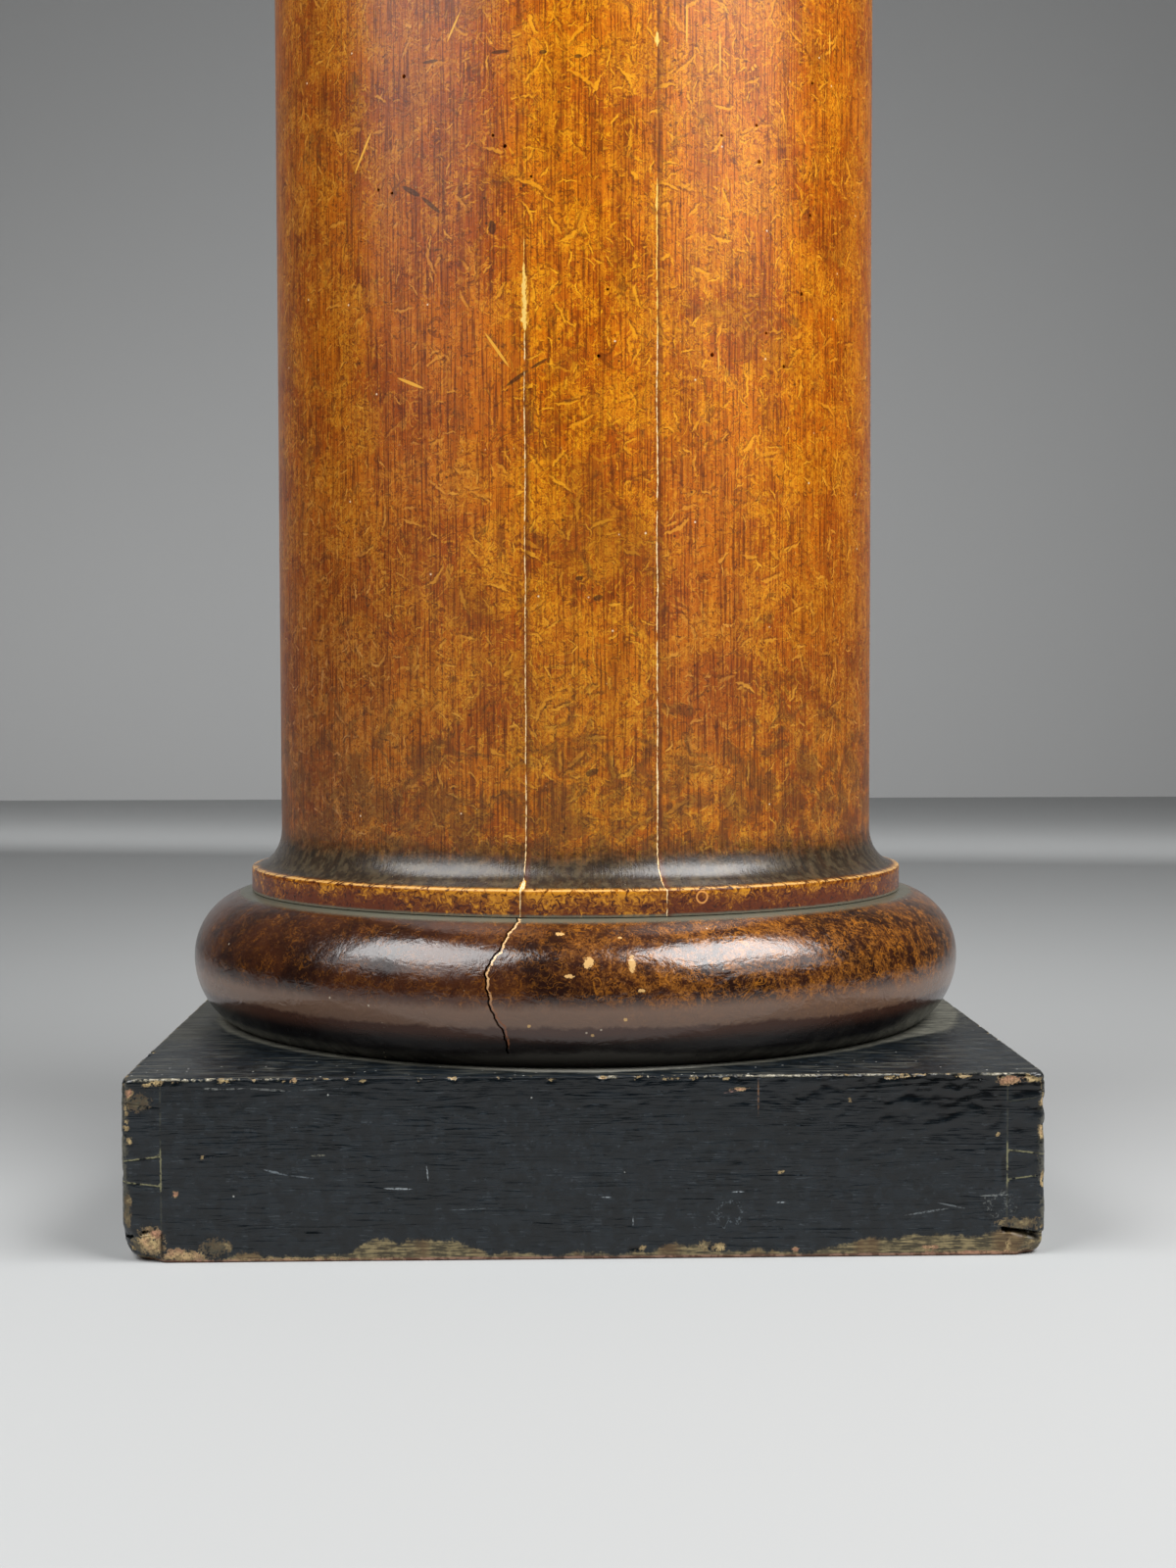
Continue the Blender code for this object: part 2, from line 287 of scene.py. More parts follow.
def worm_hole_cutters():
    """A mesh of small tapered drills for each stave that has holes."""
    drills = {}
    girth = 2 * math.pi * SHAFT_RADIUS
    for count, (around, height) in enumerate(all_worm_holes()):
        number = int((around % girth) / (STAVE_ANGLE * SHAFT_RADIUS))
        shape = drills.setdefault(number, bmesh.new())
        azimuth = FIRST_JOINT_AZIMUTH + around / SHAFT_RADIUS
        out = direction(azimuth)
        size = WORM_HOLE_RADIUS * (0.8 + 0.45 * ((count * 7) % 5) / 4)
        middle = out * (SHAFT_RADIUS - WORM_HOLE_DEPTH / 2 + 0.0005) + Vector((0, 0, height))
        turn = out.to_track_quat("Z", "Y").to_matrix().to_4x4()
        bmesh.ops.create_cone(shape, cap_ends=True, segments=10, radius1=size * 0.6, radius2=size,
                              depth=WORM_HOLE_DEPTH, matrix=Matrix.Translation(middle) @ turn)
    return {number: mesh_from(shape, "drills") for number, shape in drills.items()}


def even_out_joints(mesh, number):
    """Lets the shine run on over closed joints: the normals at a stave's edges point straight out."""
    start = FIRST_JOINT_AZIMUTH + number * STAVE_ANGLE
    edges = [direction(start), direction(start + STAVE_ANGLE)]
    normals = [corner.vector.copy() for corner in mesh.corner_normals]
    points = mesh.vertices
    for loop in mesh.loops:
        place = points[loop.vertex_index].co
        flat = Vector((place.x, place.y, 0.0)).normalized()
        for edge in edges:
            normal = normals[loop.index]
            if flat.dot(edge) > 1 - 1e-7 and normal.dot(edge) > -0.5 and abs(normal.z) < 0.99:
                sideways = Vector((-edge.y, edge.x, 0.0))
                share = normal.dot(sideways)
                if abs(share) < 0.3:
                    normals[loop.index] = (normal - sideways * share).normalized()
    mesh.normals_split_custom_set(normals)


def build_shaft(finish):
    drills = worm_hole_cutters()
    for number in range(STAVE_COUNT):
        mesh = stave_mesh(number)
        if number in drills:
            mesh = carved(mesh, drills[number])
        mesh.set_sharp_from_angle(angle=SHARP_EDGE)
        even_out_joints(mesh, number)
        node = f"stave_{number + 1:02d}"
        finished(f"grained_{node}", mesh, finish, "grained_varnish", node)


# Torus, with the crack that runs on from the left open joint

def torus_point(angle, bulge=TORUS_BULGE):
    """(radius, height) on the torus at an angle above its belly; bulge is larger outside, smaller inside."""
    rise = TORUS_TOP - TORUS_BELLY if angle > 0 else TORUS_LOWER_DROP
    rise += bulge - TORUS_BULGE
    return TORUS_CENTRE + bulge * math.cos(angle), TORUS_BELLY + rise * math.sin(angle)


def turned_mesh(name, profile, steps):
    """A ring turned about the axis from a closed outline of (radius, height) points."""
    shape = bmesh.new()
    points = [shape.verts.new((radius, 0.0, height)) for radius, height in profile]
    edges = [shape.edges.new(pair) for pair in zip(points, points[1:] + points[:1])]
    bmesh.ops.spin(shape, geom=points + edges, cent=(0, 0, 0), axis=(0, 0, 1), angle=2 * math.pi,
                   steps=steps, use_merge=True)
    bmesh.ops.remove_doubles(shape, verts=shape.verts, dist=0.00001)
    for point in shape.verts:
        out = Vector((point.co.x, point.co.y, 0.0))
        if out.length > BORE_REACH:
            point.co += out.normalized() * turning_wobble(point.co)
    return mesh_from(shape, name)


# The crack's azimuth leaves the joint's by up to CRACK_BOW, most at CRACK_PEAK on the torus's round
CRACK_BOW = math.radians(-2.9)
CRACK_PEAK = math.radians(15)
CRACK_SPREAD = math.radians(34)
CRACK_TOP = math.radians(88)
CRACK_END = math.radians(-43)
CRACK_WIDTH = 0.0009
CRACK_DEPTH = 0.006
CRACK_WAVES = ((math.radians(0.16), 11.0), (math.radians(0.09), 29.0), (math.radians(0.05), 67.0))


def crack_azimuth(angle):
    bow = CRACK_BOW * math.exp(-((angle - CRACK_PEAK) / CRACK_SPREAD) ** 2)
    waves = sum(size * math.sin(rate * angle) for size, rate in CRACK_WAVES)
    return FIRST_JOINT_AZIMUTH + bow + waves


def crack_blade():
    """A thin wandering blade that follows the crack, for cutting it."""
    steps = 90
    shape = bmesh.new()
    bmesh.ops.create_grid(shape, x_segments=steps, y_segments=1, size=0.5)
    for point in shape.verts:
        share = point.co.x + 0.5
        angle = CRACK_TOP + (CRACK_END - CRACK_TOP) * share
        outside = point.co.y > 0
        radius, height = torus_point(angle, TORUS_BULGE + (0.002 if outside else -CRACK_DEPTH))
        azimuth = crack_azimuth(angle) - CRACK_WIDTH / 2 / radius
        point.co = direction(azimuth) * radius + Vector((0, 0, height))
    bmesh.ops.recalc_face_normals(shape, faces=shape.faces)
    bmesh.ops.solidify(shape, geom=shape.faces, thickness=CRACK_WIDTH)
    return mesh_from(shape, "crack_blade")


def build_torus(finish):
    steps = 56
    profile = []
    for number in range(steps + 1):
        profile.append(torus_point(math.pi / 2 - (math.pi / 2 + TORUS_FOOT_ANGLE) * number / steps))
    profile += [(BORE_RADIUS, TORUS_BASE), (BORE_RADIUS, TORUS_TOP)]
    mesh = carved(turned_mesh("torus", profile, TORUS_STEPS), crack_blade())
    mesh.set_sharp_from_angle(angle=SHARP_EDGE)
    finished("turned_base_torus", mesh, finish, "dark_varnish", "base_torus")


def build_cap_ring(finish):
    steps = 20
    round_top = CAP_RING_TOP - CAP_RING_LIP
    profile = joined([(CAP_RING_RADIUS, CAP_RING_TOP), (CAP_RING_RADIUS, round_top)], FINE_STEP)[:-1]
    for number in range(steps + 1):
        angle = math.pi / 2 * (1 - number / steps)
        radius = CAP_RING_NECK + (CAP_RING_RADIUS - CAP_RING_NECK) * math.sin(angle)
        profile.append((radius, round_top - (round_top - CAP_RING_BASE) * math.cos(angle)))
    profile += [(BORE_RADIUS, CAP_RING_BASE), (BORE_RADIUS, CAP_RING_TOP)]
    mesh = turned_mesh("cap_ring", profile, TORUS_STEPS)
    mesh.set_sharp_from_angle(angle=SHARP_EDGE)
    finished("turned_cap_ring", mesh, finish, "dark_varnish", "cap_ring")


# Plinth: dovetailed boards under thick hand-brushed paint

# Bare places of the front as (x, height, half width, half height, tone): tone 0 is old olive wood,
# 0.5 cream ground, 1 pinkish fresh wood
BARE_PLACES = [
    (-0.1846, 0.0784, 0.0030, 0.0013, 0.45), (-0.1888, 0.0774, 0.0018, 0.0010, 0.50),
    (-0.1549, 0.0792, 0.0036, 0.0009, 0.50), (-0.1256, 0.0790, 0.0016, 0.0009, 0.70),
    (0.1844, 0.0766, 0.0060, 0.0018, 0.80), (0.1640, 0.0790, 0.0046, 0.0009, 0.50),
    (0.1950, 0.0772, 0.0040, 0.0010, 0.50), (0.1380, 0.0793, 0.0050, 0.0008, 0.50),
    (-0.1965, 0.0738, 0.0020, 0.0024, 0.95), (-0.1962, 0.0530, 0.0015, 0.0012, 0.45),
    (-0.1925, 0.0700, 0.0050, 0.0040, 0.00), (-0.1980, 0.0224, 0.0018, 0.0090, 0.05),
    (-0.1880, 0.0085, 0.0060, 0.0070, 0.60), (-0.1860, 0.0120, 0.0035, 0.0030, 0.85),
    (-0.1950, 0.0060, 0.0040, 0.0050, 0.10), (-0.1745, 0.0031, 0.0095, 0.0028, 0.70),
    (-0.1600, 0.0060, 0.0060, 0.0040, 0.05), (0.1900, 0.0140, 0.0100, 0.0026, 0.10),
    (0.1835, 0.0045, 0.0016, 0.0040, 0.70), (0.1930, 0.0035, 0.0060, 0.0026, 0.15),
    (0.1494, 0.0040, 0.0034, 0.0012, 0.85), (0.0514, 0.0055, 0.0030, 0.0022, 0.15),
    (0.0575, 0.0048, 0.0028, 0.0018, 0.35), (0.0905, 0.0036, 0.0016, 0.0009, 1.00),
    (0.0240, 0.0046, 0.0015, 0.0008, 0.50), (0.1145, 0.0685, 0.0014, 0.0006, 0.45),
    (0.0846, 0.0376, 0.0012, 0.0005, 0.45), (-0.1653, 0.0455, 0.0007, 0.0012, 0.45),
    (0.1757, 0.0535, 0.0005, 0.0009, 0.50), (0.1787, 0.0534, 0.0005, 0.0009, 0.50),
    (-0.1768, 0.0299, 0.0012, 0.0012, 0.90), (0.0663, 0.0735, 0.0040, 0.0005, 0.85),
    (0.1710, 0.0012, 0.0270, 0.0010, 0.90), (-0.1200, 0.0010, 0.0500, 0.0008, 0.60),
]

# Cracks of the front as ((x, height) start, end, half width, depth)
CRACKS = [
    ((0.1812, 0.0117), (0.2000, 0.0080), 0.0012, 0.0040),
    ((-0.2000, 0.0105), (-0.1857, 0.0147), 0.0005, 0.0022),
    ((0.1817, 0.0330), (0.1817, 0.0440), 0.0004, 0.0008),
    ((0.0180, 0.0051), (0.0225, 0.0051), 0.0005, 0.0008),
    ((-0.1828, 0.0020), (-0.1828, 0.0133), 0.0004, 0.0008),
]


def tail_levels(flare):
    """Levels of the dovetails' edges, where the tails are wider by the flare than at their root."""
    low = HALF_PIN_HEIGHT
    high = low + TAIL_HEIGHT
    next_low = high + PIN_HEIGHT
    next_high = next_low + TAIL_HEIGHT
    return [0.0, low - flare, high + flare, next_low - flare, next_high + flare, PLINTH_HEIGHT]


def tooth_level(height, across):
    """Where a level at the tails' root lies at a distance across the plinth."""
    flare = TAIL_SLOPE * min(max(abs(across) - FRAME_INNER, 0.0), BOARD_THICKNESS)
    roots = tail_levels(0.0)
    ends = tail_levels(flare)
    for band in range(len(roots) - 1):
        if height <= roots[band + 1] + 1e-6:
            share = (height - roots[band]) / (roots[band + 1] - roots[band])
            return ends[band] + share * (ends[band + 1] - ends[band])
    return height


def grid_lines(breaks, step):
    """Places of a grid's lines: on every break, close beside it, and evenly between."""
    lines = []
    for low, high in zip(breaks, breaks[1:]):
        count = max(1, round((high - low - 2 * CREASE) / step))
        lines.append(low)
        for number in range(count + 1):
            lines.append(low + CREASE + (high - low - 2 * CREASE) * number / count)
    return lines + [breaks[-1]]


def grid(columns, rows):
    """A flat grid with its lines at the given places along x and y."""
    shape = bmesh.new()
    across, up = len(columns) - 1, len(rows) - 1
    bmesh.ops.create_grid(shape, x_segments=across, y_segments=up, size=0.5)
    for point in shape.verts:
        column = round((point.co.x + 0.5) * across)
        row = round((point.co.y + 0.5) * up)
        point.co = (columns[column], rows[row], 0.0)
    return shape


def thicken(shape, inwards, steps):
    """Gives a sheet its thickness in rows of faces, with one plain face on its hidden side."""
    grown = bmesh.ops.extrude_face_region(shape, geom=list(shape.faces))
    far = [part for part in grown["geom"] if isinstance(part, bmesh.types.BMVert)]
    bmesh.ops.translate(shape, verts=far, vec=inwards)
    hidden = set(far)
    crossing = [edge for edge in shape.edges if (edge.verts[0] in hidden) != (edge.verts[1] in hidden)]
    bmesh.ops.subdivide_edges(shape, edges=crossing, cuts=steps - 1, use_grid_fill=True)
    back = [face for face in shape.faces if all(point in hidden for point in face.verts)]
    bmesh.ops.dissolve_faces(shape, faces=back)


def board_sheet(with_tails):
    """The outer face of a board in x and z, with either its tails or its pins left at both ends."""
    columns = grid_lines([-PLINTH_HALF, -FRAME_INNER, FRAME_INNER, PLINTH_HALF], BOARD_STEP)
    roots = tail_levels(0.0)
    shape = grid(columns, grid_lines(roots, BOARD_STEP))
    gone = []
    for face in shape.faces:
        middle = face.calc_center_median()
        band = sum(middle.y > level for level in roots[1:-1])
        if abs(middle.x) > FRAME_INNER and (band % 2 == 1) != with_tails:
            gone.append(face)
    bmesh.ops.delete(shape, geom=gone, context="FACES")
    stand = Matrix.Rotation(math.pi / 2, 3, "X")
    bmesh.ops.rotate(shape, verts=shape.verts, cent=(0, 0, 0), matrix=stand)
    return shape


def board_mesh(side):
    """One board of the plinth: front and back have the tails, left and right the pins."""
    with_tails = side in ("front", "back")
    shape = board_sheet(with_tails)
    steps = round(BOARD_THICKNESS / BOARD_STEP)
    bmesh.ops.translate(shape, verts=shape.verts, vec=(0, -PLINTH_HALF, 0))
    thicken(shape, (0, BOARD_THICKNESS, 0), steps)
    turns = {"front": 0, "right": 1, "back": 2, "left": 3}[side]
    turn = Matrix.Rotation(turns * math.pi / 2, 3, "Z")
    bmesh.ops.rotate(shape, verts=shape.verts, cent=(0, 0, 0), matrix=turn)
    for point in shape.verts:
        point.co.z = tooth_level(point.co.z, point.co.x)
    mesh = mesh_from(shape, f"{side}_board")
    recess = bmesh.new()
    bmesh.ops.create_cube(recess, size=1.0)
    depth = PLINTH_HEIGHT - DECK_BASE
    bmesh.ops.scale(recess, verts=recess.verts, vec=(2 * DECK_HALF, 2 * DECK_HALF, 2 * depth))
    bmesh.ops.translate(recess, verts=recess.verts, vec=(0, 0, PLINTH_HEIGHT))
    return carved(mesh, mesh_from(recess, "recess"))


def edge_round(point):
    """The radius that the wear has given the plinth's outside near a point."""
    side_x = PLINTH_HALF - abs(point.x)
    side_y = PLINTH_HALF - abs(point.y)
    post = POST_ROUND * (1 + 0.5 * bumps(point, 0.020, 0.020, 0.014))
    radius = ARRIS_ROUND + (post - ARRIS_ROUND) * fade(max(side_x, side_y), 0.008)
    radius = max(radius, FOOT_ROUND * fade(point.z, 0.006))
    front_left = point.x < 0 and point.y < 0
    corner = FRONT_LEFT_CORNER_ROUND if front_left else CORNER_ROUND
    away = math.sqrt(side_x ** 2 + side_y ** 2 + point.z ** 2)
    return max(radius, corner * fade(away - corner, corner * 1.2))


# How deep the kinds of hollows in the brushed paint are, and what wear takes off
GROOVE_DEPTH = 0.00018
SAG_DEPTH = 0.00045
SAG_EDGE_DEPTH = 0.00030
HAIR_DEPTH = 0.00006
PIT_DEPTH = 0.0013
SEAM_DEPTH = 0.00012
CHIP_DEPTH = 0.0010
BARE_DEPTH = 0.00025


def brush_depth(point, facing_up):
    """How deep the hollows between the paint's ridges go at a point."""
    x, y, z = point
    if facing_up:
        return HAIR_DEPTH * (1 + bumps((x + 0.02 * y, y, 7.0), 0.060, 0.0035, 1.0))
    sweep = 0.0050 * bumps(point, 0.045, 0.045, 0.030) + 0.09 * max(0.0, x - 0.10)
    sweep += 0.0022 * bumps((x, y, z + 3.0), 0.013, 0.013, 0.010)
    ridges = bumps((x, y, z - sweep), 0.050, 0.050, 0.0034)
    thick = bumps((x + 5.0, y, z - 2.0 * sweep), 0.014, 0.014, 0.0060)
    wrinkles = bumps((x, y + 5.0, z - sweep), 0.0240, 0.0240, 0.0022)
    pits = max(0.0, bumps((x + 9.0, y, z), 0.0120, 0.0120, 0.0024) - 0.56)
    drips = fade(0.205 - x, 0.19) * fade(abs(0.085 - z), 0.055)
    uneven = max(0.0, bumps((x, y, z - 2.0), 0.05, 0.05, 0.03))
    heavy = 0.12 + 1.80 * drips + 0.5 * fade(abs(0.080 - z), 0.022) + 0.22 * uneven
    depth = GROOVE_DEPTH * fade(abs(ridges), 0.20) + SAG_DEPTH * (0.5 + 0.5 * thick)
    depth = heavy * (depth + SAG_EDGE_DEPTH * fade(abs(thick), 0.16))
    return depth + HAIR_DEPTH * (1 + wrinkles) + PIT_DEPTH * pits


def bare_at(point):
    """(strength, tone) of the bare places near a point of the front."""
    best, tone = 0.0, 0.0
    behind = (point.y + PLINTH_HALF) / 0.0030
    if behind < 2.0:
        for x, height, half_width, half_height, place_tone in BARE_PLACES:
            away = math.hypot((point.x - x) / half_width, (point.z - height) / half_height, behind)
            strength = 1.5 - away
            if strength > best:
                best, tone = strength, place_tone
    return best, tone


def crack_at(point):
    """(strength, depth) of the cracks at a point of the front."""
    strength, depth = 0.0, 0.0
    if point.y < -PLINTH_HALF + 0.006:
        for start, end, half_width, crack_depth in CRACKS:
            way = Vector(end) - Vector(start)
            off = Vector((point.x, point.z)) - Vector(start)
            along = min(max(off.dot(way) / way.length_squared, 0.0), 1.0)
            away = (off - way * along).length
            near = fade(away, half_width * (1.0 + 0.9 * along))
            strength = max(strength, near)
            depth = max(depth, near * crack_depth)
    return strength, depth


def edge_chips(point, half, high):
    """How much is knocked off near the upright and top arrises, from 0 to about 1."""
    side_x, side_y, top = half - abs(point.x), half - abs(point.y), high - point.z
    near_post = fade(max(side_x, side_y), 0.0055)
    near_top = fade(max(min(side_x, side_y), top), 0.0032)
    bites = max(0.0, bumps(point, 0.0060, 0.0060, 0.0070) - 0.10)
    small_bites = max(0.0, bumps((point.x + 7.0, point.y, point.z), 0.0050, 0.0050, 0.0040) - 0.22)
    return max(near_post * bites * 2.0, near_top * small_bites * 3.0)


def seam_distance(point):
    """Distance to the nearest outline of a dovetail at the plinth's corners, up to SEAM_REACH."""
    nearest = SEAM_REACH
    side_x = PLINTH_HALF - abs(point.x)
    side_y = PLINTH_HALF - abs(point.y)
    level_gap = min(abs(point.z - tooth_level(level, point.x)) for level in tail_levels(0.0)[1:-1])
    for side, across in ((side_y, abs(point.x)), (side_x, abs(point.y))):
        if side < 0.002 and across > FRAME_INNER - nearest:
            nearest = min(nearest, abs(across - FRAME_INNER))
            if across > FRAME_INNER:
                nearest = min(nearest, level_gap)
    return nearest


def weather(mesh, half, low, high, radius_at, with_marks):
    """Rounds a block's outside as its wear has, and presses the brushed paint's relief into it."""
    count = len(mesh.vertices)
    held = {name: [0.0] * count for name in ("bare", "tone", "crack", "depth")}
    held["seam"] = [SEAM_REACH] * count
    for point in mesh.vertices:
        place = point.co.copy()
        radius = radius_at(place)
        core = Vector((min(max(place.x, radius - half), half - radius),
                       min(max(place.y, radius - half), half - radius),
                       min(max(place.z, low + radius), high - radius)))
        away = place - core
        if away.length < radius * 0.98:
            continue
        out = away.normalized()
        depth = 0.0
        if out.z > -0.6:
            depth = brush_depth(place, out.z > 0.8)
        chip = edge_chips(place, half, high)
        bare, tone = 1.5 * chip, 0.25 + 0.5 * chip
        if with_marks:
            marked, marked_tone = bare_at(place)
            if marked > bare:
                bare, tone = marked, marked_tone
            crack, crack_depth = crack_at(place)
            seam = seam_distance(place)
            held["crack"][point.index] = crack
            held["seam"][point.index] = seam
            depth *= 1 - 0.8 * fade(seam, 0.0030)
            depth = max(depth + SEAM_DEPTH * fade(seam, SEAM_WIDTH), crack_depth)
        held["bare"][point.index] = bare
        held["tone"][point.index] = tone
        held["depth"][point.index] = depth * 1000
        point.co = core + out * (radius - depth - CHIP_DEPTH * min(chip, 1.0) - BARE_DEPTH * min(bare, 1.0))
    hold(mesh, held)


def hold(mesh, values_by_name):
    """Stores values at a mesh's points for its finish to read."""
    for name, values in values_by_name.items():
        attribute = mesh.attributes.new(name, "FLOAT", "POINT")
        attribute.data.foreach_set("value", values)
    mesh.update()


def build_plinth(finish):
    for side in ("front", "back", "left", "right"):
        mesh = board_mesh(side)
        weather(mesh, PLINTH_HALF, 0.0, PLINTH_HEIGHT, edge_round, with_marks=True)
        mesh.shade_smooth()
        mesh.set_sharp_from_angle(angle=SHARP_BOARD_EDGE)
        finished(f"painted_{side}_board", mesh, finish, "plinth_paint", f"plinth_{side}_board")


def build_deck(finish):
    lines = grid_lines([-DECK_HALF, DECK_HALF], DECK_STEP)
    shape = grid(lines, lines)
    bmesh.ops.translate(shape, verts=shape.verts, vec=(0, 0, PLINTH_HEIGHT))
    thicken(shape, (0, 0, DECK_BASE - PLINTH_HEIGHT), 4)
    for point in shape.verts:
        if point.co.z > PLINTH_HEIGHT - CREASE:
            point.co.z -= brush_depth(point.co, True)
    mesh = mesh_from(shape, "deck")
    mesh.set_sharp_from_angle(angle=SHARP_EDGE)
    hold(mesh, {"seam": [SEAM_REACH] * len(mesh.vertices)})
    finished("painted_deck", mesh, finish, "plinth_paint", "plinth_deck")


def build_slab(finish):
    shape = bmesh.new()
    bmesh.ops.create_cube(shape, size=1.0)
    size = (2 * SLAB_HALF, 2 * SLAB_HALF, SLAB_TOP - SLAB_BASE)
    bmesh.ops.scale(shape, verts=shape.verts, vec=size)
    bmesh.ops.translate(shape, verts=shape.verts, vec=(0, 0, (SLAB_BASE + SLAB_TOP) / 2))
    for axis in range(3):
        along = [edge for edge in shape.edges
                 if abs(edge.verts[0].co[axis] - edge.verts[1].co[axis]) > SLAB_STEP]
        cuts = round(size[axis] / (SLAB_STEP if axis < 2 else SLAB_STEP / 3)) - 1
        bmesh.ops.subdivide_edges(shape, edges=along, cuts=cuts, use_grid_fill=True)
    mesh = mesh_from(shape, "slab")
    weather(mesh, SLAB_HALF, SLAB_BASE, SLAB_TOP, lambda place: SLAB_ROUND, with_marks=False)
    mesh.shade_smooth()
    finished("painted_top_slab", mesh, finish, "slab_paint", "top_slab")


# Finishes

# How much brighter than its reflectance the studio shows a matt upright face
STUDIO_GAIN = 1.2


def seen(red, green, blue):
    """The reflectance that the studio shows as a screen colour given from 0 to 255."""
    linear = []
    for value in (red, green, blue):
        share = value / 255
        linear.append(share / 12.92 if share <= 0.04045 else ((share + 0.055) / 1.055) ** 2.4)
    return (*[value / STUDIO_GAIN for value in linear], 1.0)


class Field:
    """A quantity that varies over a surface. Arithmetic on it adds Math nodes to its finish."""

    def __init__(self, finish, socket):
        self.finish = finish
        self.socket = socket

    def other(self, output):
        """Another output of the node that this one comes from."""
        return Field(self.finish, self.socket.node.outputs[output])

    def __add__(self, value):
        return self.finish.maths("ADD", self, value)

    __radd__ = __add__

    def __sub__(self, value):
        return self.finish.maths("SUBTRACT", self, value)

    def __rsub__(self, value):
        return self.finish.maths("SUBTRACT", value, self)

    def __mul__(self, value):
        return self.finish.maths("MULTIPLY", self, value)

    __rmul__ = __mul__

    def __truediv__(self, value):
        return self.finish.maths("DIVIDE", self, value)

    def __pow__(self, value):
        return self.finish.maths("POWER", self, value)

    def coat(self, share, *hue):
        """This colour, covered by a share of a screen colour given from 0 to 255."""
        return self.finish.mix(share, self, seen(*hue))

    def tint(self, share, *by):
        """This colour, with a share of it multiplied."""
        return self.finish.mix(share, self, (*by, 1.0), blend="MULTIPLY")


